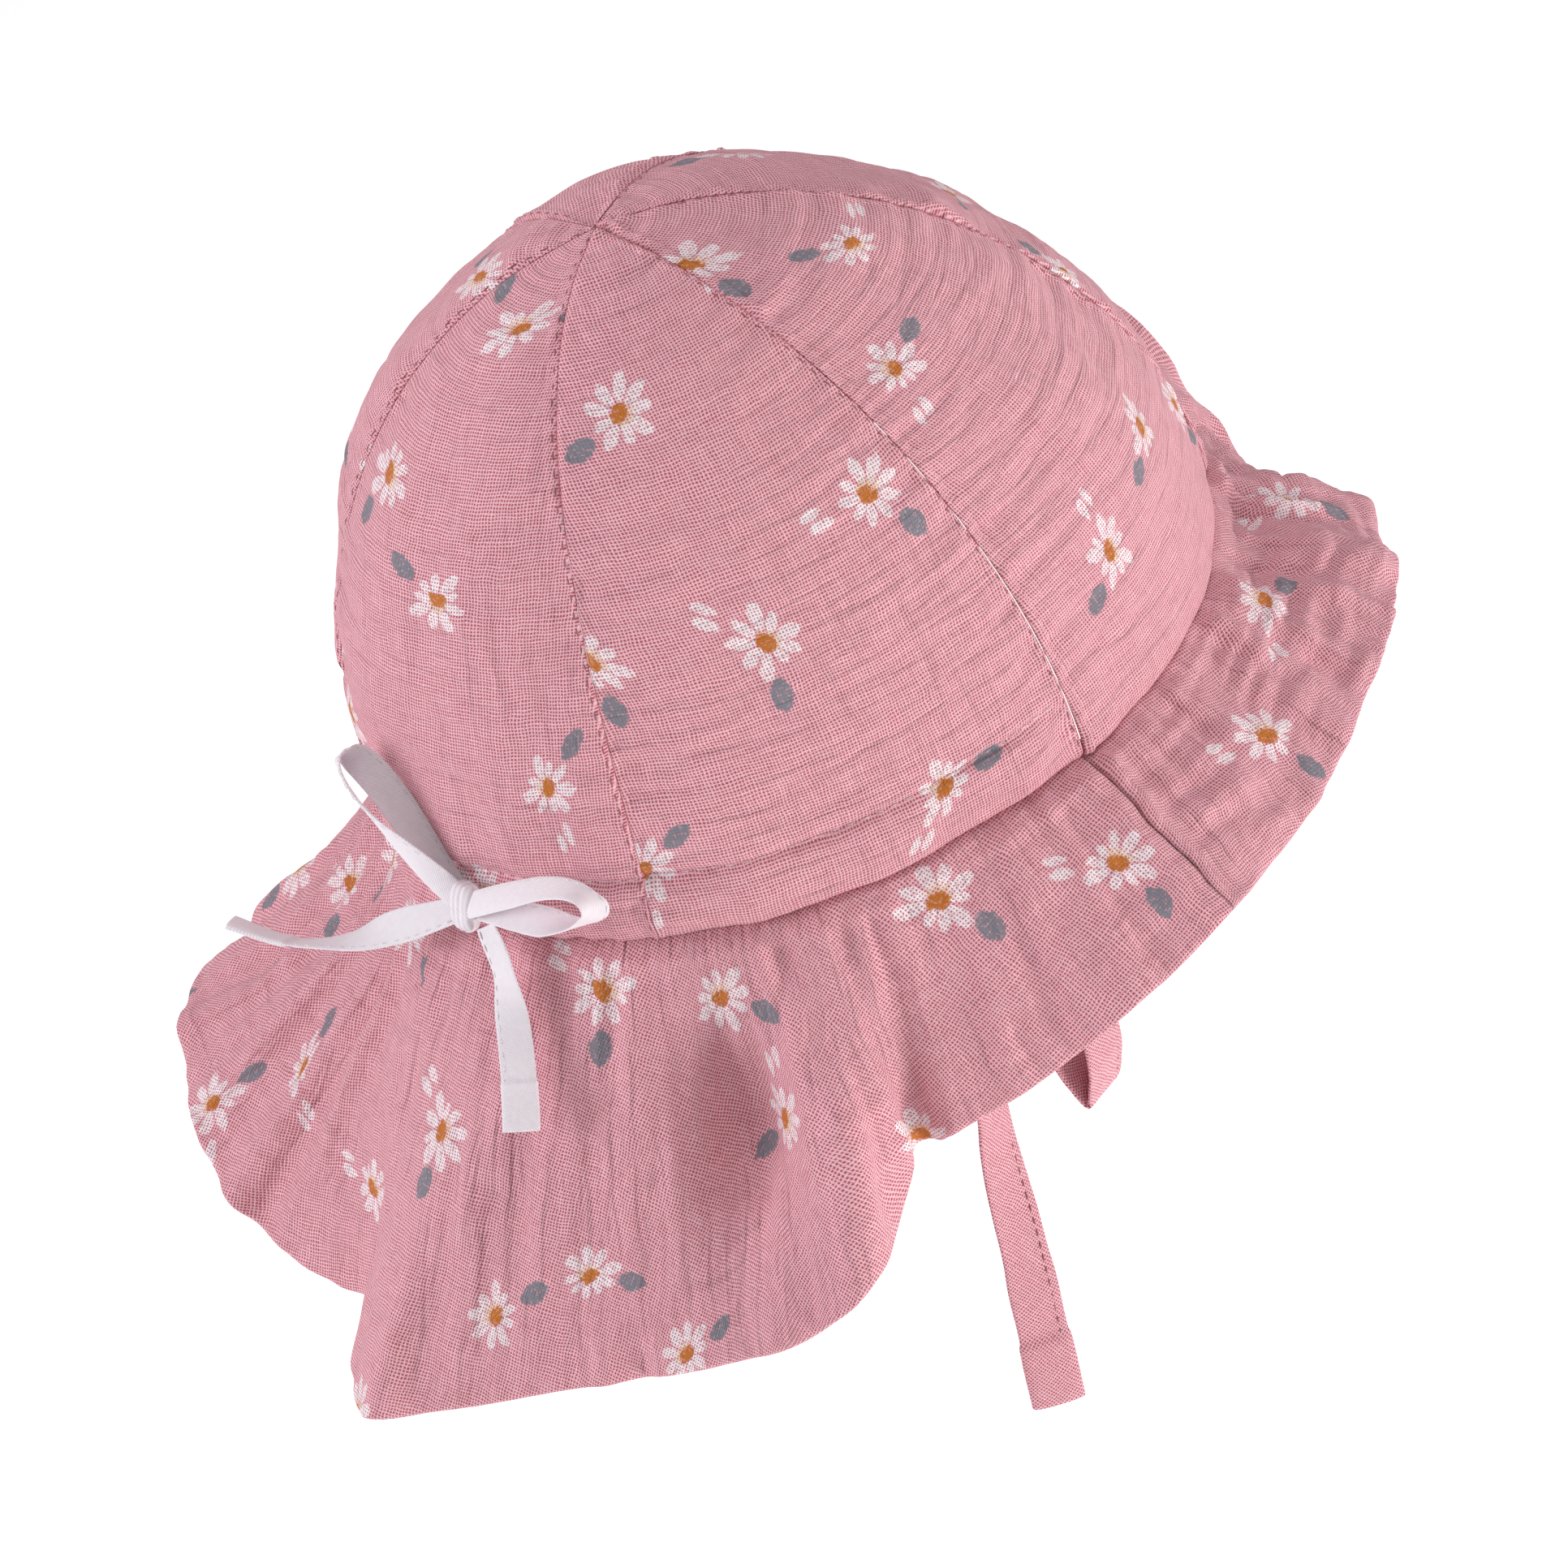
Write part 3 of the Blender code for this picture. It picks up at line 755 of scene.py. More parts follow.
def panel_metrics(middle, heading, climb):
    """Metres from the centreline and from the lower edge, and metres to the nearer side seam."""
    steps = np.linspace(0, 1, 121)
    line = crown_point(np.full_like(steps, middle), steps)
    length = length_along(line)
    across = crown_point(heading + 0.5, climb) - crown_point(heading - 0.5, climb)
    per_degree = np.linalg.norm(across, axis=-1)
    aside = (heading - middle) * per_degree
    to_seam = np.maximum(PANEL_ANGLE / 2 - np.abs(heading - middle), 0) * per_degree
    return aside, np.interp(climb, steps, length), to_seam, per_degree * PANEL_ANGLE / 2


def panel_face(middle, heading, climb):
    """Outer face of a finished panel: the plain crown plus roll, lip, puckers and groove."""
    base = crown_point(heading, climb)
    above, below = (crown_point(heading, np.clip(climb + step, 0, 1)) for step in (0.004, -0.004))
    across = crown_point(heading + 0.4, climb) - crown_point(heading - 0.4, climb)
    normal = unit(np.cross(across, above - below))
    aside, rise, to_seam, half = panel_metrics(middle, heading, climb)
    seed = 10 + int(middle) % 360
    roll = SEAM_DEPTH * seam_roll(to_seam, np.minimum(SEAM_ROLL, 0.35 * half + 1e-6))
    lapped = np.where(heading < middle, LAPPED_SIDES.get(middle, 0.0), OTHER_LIP)
    dimple = 0.5 + 0.5 * np.cos(TWO_PI * rise / DIMPLE_PITCH)
    dimple = bell((to_seam - LIP_WIDTH) / 0.00045) * dimple
    lip = SEAM_LIP * lapped * (eased((LIP_WIDTH + 0.0004 - to_seam) / 0.0008) - 0.8 * dimple)
    near_seam = np.exp(-to_seam / 0.010)
    inside = np.clip(to_seam / 0.0012, 0, 1)
    puckers = crinkle(aside, rise, PUCKERS, seed) * (PUCKER_HEIGHT + PUCKER_NEAR_SEAM * near_seam)
    ripples = swell(aside, rise, RIPPLES, seed + 5)
    falls = swell(aside, rise, FALLS, seed + 7) * np.clip(half / 0.02, 0.2, 1)
    height = base[..., 2]
    groove = bell((height - CASING_HEIGHT) / GROOVE_WIDTH) * casing_share(heading) * CASING_GROOVE
    gather = bell((height - 0.008) / 0.016) * bell(wrapped(heading) / 40)
    pleats = swell(aside, rise, GATHERS, seed + 9) * gather
    hem = seam_roll(rise, EDGE_ROLL)
    relief = lip + (puckers + ripples + falls + pleats) * inside - groove - roll - hem
    return base + normal * relief[..., None]


def dense_ends(count, share):
    """Positions from -1 to 1 that crowd together towards both ends."""
    s = np.linspace(-1, 1, count)
    return share * (1.5 * s - 0.5 * s ** 3) + (1 - share) * s


print("seam roll", SEAM_ROLL * 1000, "mm")

# %% [markdown]
# The grid crowds its columns towards the seams, where the roll needs them, and its rows towards
# the lower edge. The panel was cut flat before it was sewn, and its cloth map holds metres across
# and up the panel.

# %% Crown panels
PANEL_COLUMNS = 126
PANEL_ROWS = 176
APEX_CLIMB = 0.9985
PANEL_NODES = {"crown_back": 0, "crown_back_right": 60, "crown_front_right": 120,
               "crown_front": 180, "crown_front_left": 240, "crown_back_left": 300}


def crown_panel(node, middle, print_shift):
    """One finished panel: the grid of its face, closed."""
    across = dense_ends(PANEL_COLUMNS, 0.72) * PANEL_ANGLE / 2
    climb = np.linspace(0, 1, PANEL_ROWS) ** 1.12 * APEX_CLIMB
    climb, across = np.meshgrid(climb, across, indexing="ij")
    face = panel_face(middle, middle + across, climb)[:, ::-1]
    aside, rise = panel_metrics(middle, middle + across, climb)[:2]
    flat = np.stack([aside + print_shift[0], rise + print_shift[1]], -1)[:, ::-1]
    piece = closed_sheet(node + "_muslin", face, PANEL_WALL, flat, muslin_finish, flat[..., ::-1])
    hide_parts(node)
    return cloth_area(face)


for number, (node, middle) in enumerate(PANEL_NODES.items()):
    area = crown_panel(node, middle, (0.31 * number + 0.02, 0.17 * number + 0.01))
    print(node, round(area * 1e4, 1), "cm2")

# %% [markdown]
# ## Brim and neck flap
# Both leave the crown's lower edge, and their upper face is a blend from calm waves near the crown
# to the hem's full waves. The cloth is gathered under the crown, so short pleats start there and
# fade, and long crinkles run out towards the hem. The hem itself is a soft turned edge.

# %% Rim formula
BRIM_REACH = 0.0271
BRIM_DROP = 0.0227
FLAP_REACH = 0.0605
FLAP_DROP = 0.0670
RIM_START = 0.0003
FLAP_HOLLOW = 0.0065
FLAP_HOLLOW_HEADING = 35.0
FLAP_HOLLOW_SPREAD = 9.0
WAVE_BLEND = 14.0
RIM_FALL = 1.12
LEFT_SLUMP = 0.60
LEFT_SLUMP_HEADING = -45.0
LEFT_SLUMP_SPREAD = 33.0
BRIM_HEM = (
    # heading, reach, drop
    (90, 1.00, 1.00),
    (105, 0.86, 1.10),
    (120, 0.93, 0.93),
    (134, 1.01, 0.88),
    (145, 1.06, 0.94),
    (154, 1.08, 1.00),
    (162, 1.05, 1.45),
    (171, 1.03, 1.90),
    (180, 1.00, 1.55),
    (190, 1.04, 0.25),
    (200, 1.06, 0.05),
    (213, 1.00, 0.35),
    (229, 0.92, 0.93),
    (248, 0.93, 1.02),
    (270, 1.00, 1.00),
)
FLAP_HEM = (
    # heading, reach, drop
    (-90, 0.448, 0.339),
    (-77, 0.47, 0.50),
    (-66, 0.57, 0.64),
    (-57, 0.72, 0.65),
    (-48, 0.85, 0.62),
    (-39, 0.90, 0.62),
    (-31, 0.89, 0.76),
    (-23, 0.81, 0.935),
    (-16, 0.68, 1.03),
    (-10, 0.65, 1.04),
    (-5, 0.85, 1.01),
    (0, 0.96, 0.995),
    (8, 0.86, 0.965),
    (20, 0.69, 0.935),
    (32, 0.65, 0.90),
    (41.5, 0.65, 0.83),
    (47, 0.62, 0.74),
    (50, 0.42, 0.75),
    (52.5, 0.25, 0.68),
    (56.5, 0.30, 0.61),
    (66, 0.37, 0.52),
    (78, 0.46, 0.38),
    (90, 0.448, 0.339),
)


def read_table(table, at):
    """Smooth curve through the table's rows, read at the values of its first column."""
    rows = np.array(table, float)
    key, values = rows[:, 0], rows[:, 1:]
    slope = np.gradient(values, key, axis=0)
    place = np.clip(np.searchsorted(key, at, side="right") - 1, 0, len(key) - 2)
    width = (key[place + 1] - key[place])[..., None]
    s = (at - key[place])[..., None] / width
    start, end = values[place], values[place + 1]
    rise = s * s * (3 - 2 * s)
    bend = s * (1 - s) ** 2 * width * slope[place] - s * s * (1 - s) * width * slope[place + 1]
    return start + (end - start) * rise + bend


def hem_size(heading):
    """Reach and drop of the hem at a heading, from the brim's table or the flap's."""
    turned = np.where(heading > 270, heading - 360, heading)
    turned = np.where(turned < -90, turned + 360, turned)
    brim = read_table(BRIM_HEM, np.clip(turned, 90, 270)) * (BRIM_REACH, BRIM_DROP)
    flap = read_table(FLAP_HEM, np.clip(turned, -90, 90)) * (FLAP_REACH, FLAP_DROP)
    return np.where((turned > 90)[..., None], brim, flap)


def rim_point(heading, along):
    """A point of the plain upper face. Along runs from 0 at the crown to 1 at the hem."""
    waves = hem_size(heading)
    steps = np.linspace(-1.5, 1.5, 19)
    weights = np.cos(steps * np.pi / 3.2) ** 2
    near = sum(weight * hem_size(heading + WAVE_BLEND * step) for weight, step in zip(weights, steps))
    calm = near / weights.sum()
    size = calm + (waves - calm) * (along ** 1.4)[..., None]
    hollow = bell(wrapped(heading - FLAP_HOLLOW_HEADING) / FLAP_HOLLOW_SPREAD)
    reach = size[..., 0] * along ** 0.95 - FLAP_HOLLOW * hollow * np.sin(np.pi * along) ** 2
    point = head_line(heading) + outward(heading) * reach[..., None]
    slump = LEFT_SLUMP * bell(wrapped(heading - LEFT_SLUMP_HEADING) / LEFT_SLUMP_SPREAD)
    point[..., 2] = -RIM_START - size[..., 1] * along ** (RIM_FALL - slump)
    return point


print("flap reaches", FLAP_REACH * 1000, "mm and drops", FLAP_DROP * 1000, "mm")

# %% [markdown]
# The flat cut of brim and flap is a piece of a ring. Its inner edge is a little longer than the
# crown's edge that it is gathered to, and its outer edge is the hem. The flat coordinates are laid
# out on that ring, so the yarns keep their spacing from the crown to the hem.

# %% Flat cut of the rim


def ring_layout(face):
    """Flat coordinates of a gathered sheet on its ring-shaped cut.

    The angle follows the length along the middle row, and the radius is the length from the crown
    along each column plus an inner radius that makes inner and outer edges as long as on the hat.
    """
    outwards = np.concatenate([np.zeros_like(face[:1, :, 0]),
                               np.cumsum(np.linalg.norm(np.diff(face, axis=0), axis=-1), axis=0)])

    inner, outer = length_along(face[3])[-1], length_along(face[-4])[-1]
    middle = length_along(face[len(face) // 2])
    depth = outwards[-1].mean()
    spread = (outer - inner) / depth
    radius = inner / spread + outwards
    angle = (middle / middle[-1] - 0.5) * spread
    flat = np.stack([radius * np.sin(angle), -radius * np.cos(angle)], -1)
    return flat, outwards, middle, (inner, outer, depth)


print("flat cut ready")

# %% [markdown]
# The relief on brim and flap is one height along the plain face's normal. It adds short pleats at
# the crown, long folds, cross folds, ridges and a few large valleys, and takes away the rolled hem.
# Each has its own length and height, so that no single wave can be picked out by eye.

# %% Rim relief
RIM_WALL = 0.0011
HEM_ROLL = 0.0012
VALLEYS = (
    # heading, spread, place out to the hem, spread, depth
    (37, 4.2, 0.56, 0.22, 0.0085),
    (29, 4.0, 0.55, 0.26, -0.0022),
    (46, 4.2, 0.66, 0.24, -0.0030),
    (60, 5.0, 0.55, 0.30, 0.0020),
    (142, 13.0, 0.28, 0.22, 0.0042),
)
TUCK = 0.0030
TUCK_RISE = 0.0016
PUFF = 0.0008
SIDE_ROLL = 0.14
SEAM_SWAY = 0.45
# Length of each noise in its two directions, and its height, in metres
PLEATS = (0.0036, 0.05, 0.0011)
FOLDS = (0.024, 0.0052)
CROSS_FOLDS = (0.013, 0.0045)
RIDGES = (0.045, 0.0044)
RIM_FALLS = (0.09, 0.0115, 0.0016)
HEM_WAVE = (0.012, 0.0007)


def rim_face(heading, along, strength):
    """Upper face of brim or flap with pleats, crinkles, rolled hem and a tucked-in inner edge."""
    out = np.clip(along, 0, 1)
    heading = heading + SEAM_SWAY * soft_noise(out * 7, 0 * out, 65) * np.sin(np.pi * out)
    base = rim_point(heading, out)
    across = rim_point(heading + 0.3, out) - rim_point(heading - 0.3, out)
    lower, upper = (rim_point(heading, np.clip(out + step, 0, 1)) for step in (0.01, -0.01))
    normal = unit(np.cross(lower - upper, across))
    outwards, middle = ring_layout(base)[1:3]
    arc = middle[None, :] + 0 * outwards
    to_hem = outwards[-1:] - outwards
    to_side = np.minimum(middle, middle[-1] - middle)[None, :]
    held = np.clip(outwards / 0.004, 0, 1) * np.clip(to_side / 0.003, 0, 1)
    puff = PUFF * bell((outwards - 0.0026) / 0.0017)
    pleats = swell(arc, outwards, PLEATS, 71) * np.exp(-outwards / 0.012)
    fold_size, cross_size, ridge_size = strength(heading)
    folds = crinkle(outwards, arc, FOLDS, 31) * fold_size
    cross = crinkle(arc, outwards, CROSS_FOLDS, 41) * cross_size
    ridges = swell(outwards, arc, (*RIDGES, ridge_size), 51) * np.clip(outwards / 0.02, 0, 1)
    falls = swell(outwards, arc, RIM_FALLS, 57) * np.clip(outwards / 0.03, 0, 1)
    valleys = sum(depth * np.exp(-((heading - where) / spread) ** 2 - ((along - out_to) / run) ** 2)
                  for where, spread, out_to, run, depth in VALLEYS)
    hem_wave = soft_noise(arc / HEM_WAVE[0], 0 * arc, 61) * HEM_WAVE[1] * np.exp(-to_hem / 0.006)
    roll = 0.5 * seam_roll(to_hem, HEM_ROLL) + SIDE_ROLL * seam_roll(to_side + 0 * arc, SEAM_ROLL)
    relief = (puff + pleats + folds + cross + ridges + falls - valleys + hem_wave) * held - roll
    point = base + normal * relief[..., None]
    under = np.clip(-along, 0, None)[..., None]
    return point - outward(heading) * under * TUCK + np.array([0, 0, TUCK_RISE]) * under


print(len(VALLEYS), "valleys and ridges of their own")

# %% Brim and flap


def rim_piece(node, first, last, columns, rows, strength, print_shift):
    """Brim or flap between two headings, closed."""
    heading = first + (last - first) * (dense_ends(columns, 0.3) + 1) / 2
    along = np.concatenate([[-1.0, -0.5], (dense_ends(rows - 2, 0.6) + 1) / 2])
    along, heading = np.meshgrid(along, heading, indexing="ij")
    face = rim_face(heading, along, strength)
    flat, outwards, middle, sizes = ring_layout(face)
    folds = np.stack([middle[None, :] + 0 * outwards, outwards], -1) + print_shift
    piece = closed_sheet(node + "_muslin", face, RIM_WALL, flat + print_shift, muslin_finish, folds)
    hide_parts(node)
    print(node, "inner, outer, depth in mm:", [round(s * 1000, 1) for s in sizes],
          "area", round(cloth_area(face) * 1e4, 1), "cm2")
    return piece


def flap_crinkles(heading):
    """Heights of folds, cross folds and ridges: folds grow to the right, ridges to the left lobe."""
    left = bell((heading + 38) / 26)
    right = bell((heading - 52) / 20)
    return 0.0008 + 0.0003 * left + 0.0008 * right, 0.0004, 0.0007 + 0.0019 * left


def brim_crinkles(heading):
    """The same for the brim, whose crinkles are strongest on its right half."""
    middle = bell((heading - 145) / 30)
    return 0.0017 + 0.0008 * middle, 0.0011 + 0.0007 * middle, 0.0008


rim_piece("brim_front", 90, 270, 300, 54, brim_crinkles, (0.55, 0.43))
rim_piece("neck_flap", -90, 90, 420, 108, flap_crinkles, (0.05, 0.62))

# %% [markdown]
# ## Stitches
# A row of stitches is one short thread capsule after another along a line on the cloth. They
# repeat hundreds of times, so each capsule has only a few faces, and all capsules of a row are
# computed at once as one array and joined in one mesh.

# %% Stitch rows
STITCH_SIDES = 6
STITCH_RINGS = np.array([[-1.0, 0.25], [-0.72, 0.85], [0.0, 1.0], [0.72, 0.85], [1.0, 0.25]])


def walk(line, pitch):
    """Middle points and unit directions of equal steps along a line."""
    length = length_along(line)
    count = max(int(length[-1] / pitch), 1)
    at = (np.arange(count) + 0.5) * length[-1] / count

    def read(where):
        return np.stack([np.interp(where, length, line[:, axis]) for axis in range(3)], -1)

    return read(at), unit(read(at + 0.2 * pitch) - read(at - 0.2 * pitch)), at / length[-1]


def stitch_row(name, line, normals, sizes, material, lift=0.0):
    """Capsules along a line: rings whose radius swells in the middle, arched over the cloth."""
    pitch, length, radius = sizes
    middle, ahead, share = walk(line, pitch)
    out = np.stack([np.interp(share, np.linspace(0, 1, len(normals)), normals[:, axis])
                    for axis in range(3)], -1)
    side = unit(np.cross(ahead, out))
    out = np.cross(side, ahead)
    turn = np.arange(STITCH_SIDES) * TWO_PI / STITCH_SIDES
    along, fullness = STITCH_RINGS.T
    centre = (middle[:, None] + ahead[:, None] * (along * length / 2)[None, :, None]
              + out[:, None] * (lift - radius * 0.9 * along ** 2)[None, :, None])
    ring = side[:, None, None] * np.cos(turn)[:, None] + out[:, None, None] * np.sin(turn)[:, None]
    points = centre[:, :, None] + ring * (radius * fullness)[None, :, None, None]
    count, rings = len(middle), len(along)
    index = np.arange(count * rings * STITCH_SIDES).reshape(count, rings, STITCH_SIDES)
    ahead_index = np.roll(index, -1, axis=2)
    sides = np.stack([index[:, :-1], ahead_index[:, :-1], ahead_index[:, 1:], index[:, 1:]], -1)
    faces = sides.reshape(-1, 4).tolist() + index[:, 0, ::-1].tolist() + index[:, -1].tolist()
    return new_piece(name, points.reshape(-1, 3), faces, material)


# Pitch, length and radius of each kind of stitch
SEAM_STITCH = (0.0029, 0.0017, 0.00017)
CASING_STITCH = (0.0026, 0.0022, 0.00017)
TIE_STITCH = (0.0027, 0.0017, 0.00016)
TAPE_STITCH = (0.0023, 0.0015, 0.00011)


def seam_stitches(number):
    """Stitches sunk in the seam that follows panel number, seen as small dark dashes."""
    heading = 30.0 + 60.0 * number
    climb = np.linspace(0.02, 0.985, 160)
    beside = heading - 0.55 / np.maximum(np.cos(climb * np.pi / 2), 0.12)
    line = panel_face(heading - 30.0, beside, climb)
    base = unit(line - np.array([0.0, APEX_SET_BACK * 0.5, 0.02]))
    stitch_row("seam_stitches_" + str(number), line, base, SEAM_STITCH, thread_rose)


for number in range(6):
    seam_stitches(number)

CASING_CLIMB = math.asin((CASING_HEIGHT / CROWN_HEIGHT) ** (1 / 1.105)) / (math.pi / 2)
for middle in (-60, 0, 60):
    heading = np.linspace(max(middle - 29.5, -88), min(middle + 29.5, 88), 160)
    line = panel_face(middle, heading, np.full_like(heading, CASING_CLIMB))
    stitch_row("casing_stitches_" + str(middle + 60), line, outward(heading), CASING_STITCH,
               thread_pink, lift=0.0001)

# %% [markdown]
# ## Chin ties
# A tie is a strip of muslin folded lengthwise and stitched along one side. It could be a curve with
# a bevel, but a closed tube with a flattened cross-section, carried along the tie's route, can also
# cup, puff and get thicker and a little wider where its lower end is folded back.

# %% Chin ties
TIE_WIDTH = 0.0095
TIE_DROP = 0.133
TIE_SEAM = 0.0017
TIE_FOLD_SHARE = 0.925
STRIP_SIDES = 24
RIGHT_TIE_ROUTE = (
    # side, back, drop, turn
    (0.955, 0.098, -0.035, 0),
    (0.950, 0.102, 0.03, 0),
    (0.925, 0.108, 0.21, 0),
    (0.900, 0.107, 0.38, 3),
    (0.876, 0.110, 0.505, 6),
    (0.843, 0.117, 0.547, 8),
    (0.808, 0.130, 0.512, 10),
    (0.780, 0.160, 0.435, 18),
    (0.738, 0.221, 0.385, 34),
    (0.690, 0.277, 0.430, 28),
    (0.664, 0.308, 0.550, 12),
    (0.678, 0.344, 0.758, -14),
    (0.697, 0.394, 1.020, -32),
)
LEFT_TIE_ROUTE = (
    # side, back, drop, turn
    (-0.955, 0.098, -0.035, 0),
    (-0.950, 0.102, 0.03, 0),
    (-0.925, 0.108, 0.25, 4),
    (-0.900, 0.125, 0.50, 10),
    (-0.885, 0.130, 0.75, 14),
    (-0.880, 0.120, 1.00, 12),
)


def smooth_route(table, scale, count):
    """Points at even steps along a smooth curve through the table's rows."""
    rows = np.array(table, float) * scale
    length = length_along(rows[:, :3])
    return read_table(np.column_stack([length, rows]), np.linspace(0, length[-1], count))


def tube(name, points, flat, material):
    """A grid of rings joined to a closed tube whose two ends are one face each."""
    rings, sides = points.shape[:2]
    index = np.arange(rings * sides).reshape(rings, sides)
    around = quads(np.concatenate([index, index[:, :1]], 1))
    faces = around.tolist() + [index[0].tolist(), index[-1, ::-1].tolist()]
    piece = new_piece(name, points.reshape(-1, 3), faces, material)
    order = np.concatenate([around.ravel(), index[0], index[-1, ::-1]])
    add_flat_map(piece, "cloth", flat.reshape(-1, 2)[order])
    return piece


def strip(name, centre, across, profile, material):
    """A closed strip: profile(share) gives half width, half thickness and cup of its cross-section.

    The cross-section is a rounded loop: its width follows a cosine, its thickness a softened sine,
    and the cup bends the width into a shallow arc. The loop's ends are closed by one face each.
    """
    tangent = unit(np.gradient(centre, axis=0))
    across = unit(across - tangent * np.sum(across * tangent, -1, keepdims=True))
    normal = np.cross(tangent, across)
    share = np.linspace(0, 1, len(centre))
    half_width, half_wall, cup = profile(share)
    turn = np.arange(STRIP_SIDES) * TWO_PI / STRIP_SIDES
    wide, thick = boxy(np.cos(turn), 0.75), boxy(np.sin(turn), 0.55)
    x = half_width[:, None] * wide
    y = half_wall[:, None] * thick + cup[:, None] * (1 - wide ** 2)
    points = centre[:, None] + across[:, None] * x[..., None] + normal[:, None] * y[..., None]
    length = length_along(centre)
    flat = np.stack([x + 0.2, length[:, None] + 0 * x + 0.1], -1)
    return tube(name, points, flat, material), across, normal, length[-1]


def stitch_both_sides(node, line, normal, off, sizes, material):
    """A row of stitches on each face of a strip, off metres above the line inside it."""
    for side, name in ((1, "outer"), (-1, "inner")):
        stitch_row(node + "_" + name + "_stitches", line + side * normal * off, side * normal,
                   sizes, material)


def tie_profile(share):
    """Full width, a little puffed, thicker where the end is folded back over its last ninth."""
    wave = 1 + 0.03 * soft_noise(share * 22, 0 * share, 83)
    end = 1 / (1 + np.exp(-(share - TIE_FOLD_SHARE) / 0.0015))
    half_wall = 0.00055 * (1 + 1.1 * end) + 0.0001 * soft_noise(share * 34, 0 * share, 84)
    return 0.5 * TIE_WIDTH * (wave + 0.07 * end), half_wall, 0.0002 * soft_noise(share * 9, 0 * share, 85)


def chin_tie(node, table, count):
    """A strip along the route of the table, whose turn says where its width points."""
    scale = (-HEAD_HALF_WIDTH, HEAD_HALF_LENGTH, -TIE_DROP, 1)
    route = smooth_route(table, scale, count)
    centre, across = route[:, :3], outward(route[:, 3])
    piece, across, normal, length = strip(node + "_muslin", centre, across, tie_profile,
                                          tie_finish)
    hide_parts(node)
    beside = centre - across * (0.5 * TIE_WIDTH - TIE_SEAM)
    stitch_both_sides(node, beside, normal, 0.00052, TIE_STITCH, thread_rose)
    print(node, round(length * 1000), "mm long")


chin_tie("tie_right", RIGHT_TIE_ROUTE, 260)
chin_tie("tie_left", LEFT_TIE_ROUTE, 160)

# %% [markdown]
# ## Tape bow
# The drawstring comes out at the back and is tied in a bow. Its loops and tails are strips of soft
# white tape that narrow where the knot squeezes them, and the knot is a short length of the same
# tape wound once round the middle, creased across by the pull.

# %% Bow sizes
TAPE_WIDTH = 0.006
TAPE_WALL = 0.001
KNOT_WIDTH = 0.0058
KNOT_HEIGHT = 0.0086
KNOT_DEPTH = 0.0042
KNOT_CENTRE_HEIGHT = 0.0093
KNOT_TO_RIGHT = 0.0056
KNOT_LEAN = 20.0  # the top leans to the crown, in degrees
LEFT_LOOP_REACH = 0.028
RIGHT_LOOP_REACH = 0.027
# Half widths of each loop's opening, on the side of its first strand and of its second
LEFT_LOOP_ROOM = (0.0022, 0.0031)
RIGHT_LOOP_ROOM = (0.0034, 0.0034)
TAPE_PINCH = 0.75  # share of its width that the tape keeps at the knot
TAIL_REACH = 0.0450
SEAM_GAP = 0.0003
TAPE_HALF_WALL = 0.00026
LOOP_SUNK = 0.0032
FOLD_SHARE = 0.76
# Which way each loop points and which way it opens
LEFT_LOOP_WAY = (0.62, 0.0, 0.78)
LEFT_LOOP_OPENING = (0.0, 1.0, 0.0)
RIGHT_LOOP_WAY = (-0.96, -0.15, 0.25)
RIGHT_LOOP_OPENING = (0.0, -0.2, 1.0)

# How far the tape turns about its loop's direction, in degrees, from one end of the tape to the other
LEFT_LOOP_TURN = (
    # share of the tape, turn
    (0.0, 63),
    (0.3, 58),
    (0.42, 28),
    (0.52, -10),
    (0.65, -25),
    (0.85, -10),
    (1.0, 52),
)
RIGHT_LOOP_TURN = (
    # share of the tape, turn
    (0.0, 62),
    (0.12, 44),
    (0.22, 6),
    (0.32, -15),
    (0.55, -20),
    (0.7, 5),
    (0.85, 28),
    (1.0, 60),
)

# Tails of the bow, from the knot outwards. Side, out and up are shares of TAIL_REACH,
# and turn is how far the tape is turned about its own length, in degrees.
LEFT_TAIL_ROUTE = (
    # side, out, up, turn
    (0.00, 0.00, 0.00, 35),
    (0.25, 0.12, -0.09, 45),
    (0.52, 0.22, -0.19, 105),
    (0.74, 0.31, -0.20, 122),
    (0.92, 0.40, -0.11, 118),
)
RIGHT_TAIL_ROUTE = (
    # side, out, up, turn
    (0.00, 0.00, 0.00, 140),
    (-0.085, 0.045, -0.13, 140),
    (-0.15, 0.115, -0.27, 100),
    (-0.23, 0.21, -0.40, 80),
    (-0.30, 0.31, -0.53, 76),
    (-0.345, 0.37, -0.585, 76),
)

lean = np.radians(KNOT_LEAN)
behind_knot = crown_point(*np.meshgrid(np.linspace(-3, 7, 9), np.linspace(0, 0.12, 25)))
leaned = behind_knot[..., 1] + (behind_knot[..., 2] - KNOT_CENTRE_HEIGHT) * np.tan(lean)
knot_back = leaned.max() + SEAM_GAP + KNOT_DEPTH / 2 / np.cos(lean)
knot_centre = np.array([-KNOT_TO_RIGHT, knot_back, KNOT_CENTRE_HEIGHT])
knot_side = np.array([KNOT_WIDTH / 2 + 3 * SEAM_GAP, 0, 0])
knot_forwards = np.array([0, np.cos(lean), np.sin(lean)])
knot_upright = np.array([0, -np.sin(lean), np.cos(lean)])
knot_quarter = knot_upright * KNOT_HEIGHT / 4
tail_clear = np.array([TAPE_WALL, 0, 0])


print("knot at", [round(part * 1000, 1) for part in knot_centre], "mm")

# %% [markdown]
# A loop leaves the knot as a half sine along its own way and swings out to each side as a full one.
# The tape turns about the loop's way as it goes, as a real tape does where it was pulled through.
# Tails follow short tables of points. The knot is a band carried round the bundle.

# %% Bow


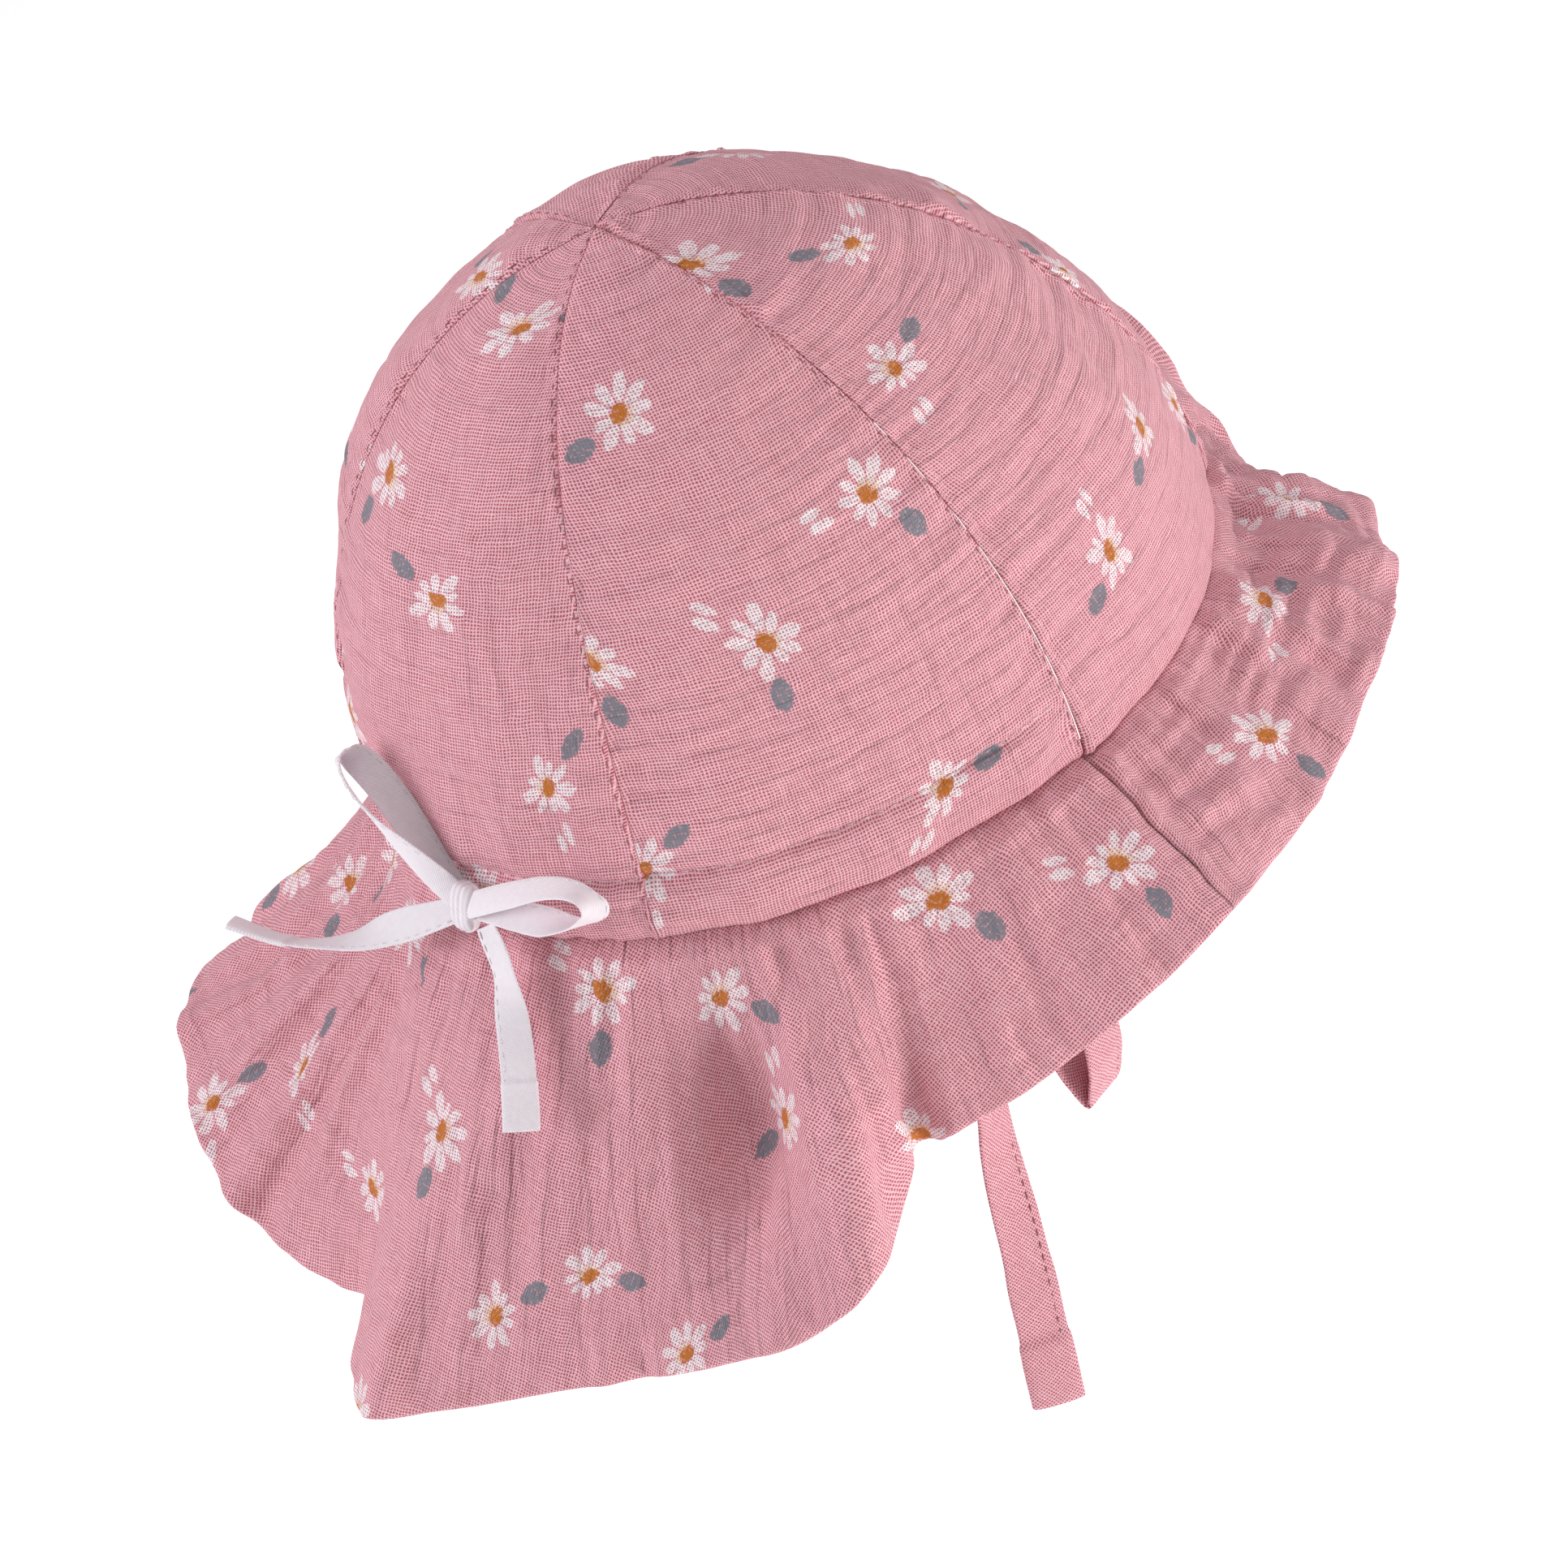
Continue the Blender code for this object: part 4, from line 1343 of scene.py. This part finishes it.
def tape_piece(node, centre, across, profile, stitch_side):
    """A strip of tape with its stitches."""
    piece, across, normal, length = strip(node + "_tape", centre, across, profile,
                                          tape_finish)
    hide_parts(node)
    half_width = profile(np.linspace(0, 1, len(centre)))[0]
    beside = centre + across * (stitch_side * (half_width - 0.0007))[:, None]
    stitch_both_sides(node, beside, normal, TAPE_HALF_WALL, TAPE_STITCH, thread_white)
    print(node, round(length * 1000), "mm of tape")


def loop_profile(share):
    """Half width, half thickness and cup: the tape is squeezed and cupped where the knot holds it."""
    pinch = TAPE_PINCH + (1 - TAPE_PINCH) * np.clip(6 * np.minimum(share, 1 - share), 0, 1)
    return 0.5 * TAPE_WIDTH * pinch, np.full_like(share, TAPE_HALF_WALL), 0.0012 * (1 - pinch)


def turned(across, axis, degrees):
    """Directions turned about an axis that they stand square to."""
    angle = np.radians(degrees)[:, None]
    return np.cos(angle) * across + np.sin(angle) * np.cross(axis, across)


def bow_loop(node, root, way, opening, turns, length, room, stitch_side):
    """A teardrop loop that leaves the knot and comes back over itself."""
    way = unit(np.array(way, float))
    opening = np.array(opening, float)
    opening = unit(opening - way * (opening @ way))
    s = np.linspace(0, 1, 150)
    across = turned(np.cross(way, opening), way, read_table(turns, s)[:, 0])
    sunk = LOOP_SUNK * np.clip(1 - 8 * np.minimum(s, 1 - s), 0, 1)
    out = length * np.sin(np.pi * s) + TAPE_WALL - sunk
    apart = -np.where(s < 0.5, *room) * np.sin(2 * np.pi * s)
    beside = (2 * s - 1)[:, None] * 0.8 * TAPE_WALL * np.cross(across[0], way)
    centre = root + out[:, None] * way + apart[:, None] * opening + beside
    tape_piece(node, centre, across, loop_profile, stitch_side)


def tail_profile(share):
    """The tape is squeezed at the knot, and its last part is folded back on itself."""
    pinch = TAPE_PINCH + (1 - TAPE_PINCH) * np.clip(5 * share, 0, 1)
    fold = 1 / (1 + np.exp(-(share - FOLD_SHARE) / 0.002))
    half_width = 0.5 * TAPE_WIDTH * pinch * (1 + 0.06 * fold)
    return half_width, TAPE_HALF_WALL * (1 + 1.6 * fold), 0.0010 * (1 - pinch)


def bow_tail(node, root, table, stitch_side):
    """A tape along its route, its width square to the route and turned about it."""
    route = smooth_route(table, (TAIL_REACH, TAIL_REACH, TAIL_REACH, 1), 130)
    way = unit(np.gradient(route[:, :3], axis=0))
    upright = unit(np.array([0, 0, 1]) - way * way[:, 2:])
    across = turned(upright, way, route[:, 3])
    tape_piece(node, root + route[:, :3], across, tail_profile, stitch_side)


def bow_knot():
    """A band wound round the bundle: a rounded loop carried across its width, with creases."""
    turn = np.linspace(0, TWO_PI, 73)[:-1]
    side = np.linspace(-1, 1, 41)
    fullness = np.clip(1 - np.abs(side) ** 6, 0, 1) ** 0.35
    creases = 0.00016 * np.cos(side * 13) * (1 - side ** 2)
    side_grid, turn_grid = np.meshgrid(side, turn, indexing="ij")
    radius = fullness[:, None] * (1 + 0.03 * soft_noise(side_grid * 3, turn_grid * 2, 91))
    depth, height = boxy(np.sin(turn_grid), 0.8), boxy(np.cos(turn_grid), 0.8)
    x = 0.42 * KNOT_WIDTH * side_grid
    y = (KNOT_DEPTH / 2 * radius + creases[:, None]) * depth
    z = (KNOT_HEIGHT / 2 * radius + creases[:, None]) * height
    points = (knot_centre + x[..., None] * np.array([1, 0, 0]) + y[..., None] * knot_forwards
              + z[..., None] * knot_upright)
    flat = np.stack([x, turn_grid * KNOT_HEIGHT / 2], -1)
    piece = tube("bow_knot_tape", points[:, ::-1], flat[:, ::-1], tape_finish)
    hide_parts("bow_knot")


bow_knot()
bow_loop("bow_loop_right", knot_centre - knot_side + 0.6 * knot_quarter, RIGHT_LOOP_WAY,
         RIGHT_LOOP_OPENING, RIGHT_LOOP_TURN, RIGHT_LOOP_REACH, RIGHT_LOOP_ROOM, -1)
bow_loop("bow_loop_left", knot_centre + knot_side + knot_quarter, LEFT_LOOP_WAY,
         LEFT_LOOP_OPENING, LEFT_LOOP_TURN, LEFT_LOOP_REACH, LEFT_LOOP_ROOM, 1)
bow_tail("bow_tail_left", knot_centre + knot_side - knot_quarter, LEFT_TAIL_ROUTE, -1)
bow_tail("bow_tail_right", knot_centre - knot_side - knot_quarter - tail_clear, RIGHT_TAIL_ROUTE, 1)

# %% [markdown]
# ## Triangle count
# The last step counts the triangles of all shown pieces. The dressed hat has to stay inside the
# imported model's box, apart from a few millimetres that cloth may stand proud.

# %% Triangle count
bpy.context.view_layer.update()
triangles = sum(len(polygon.vertices) - 2 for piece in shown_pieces() if piece.type == "MESH"
                for polygon in piece.data.polygons)
print("triangles in all:", triangles)
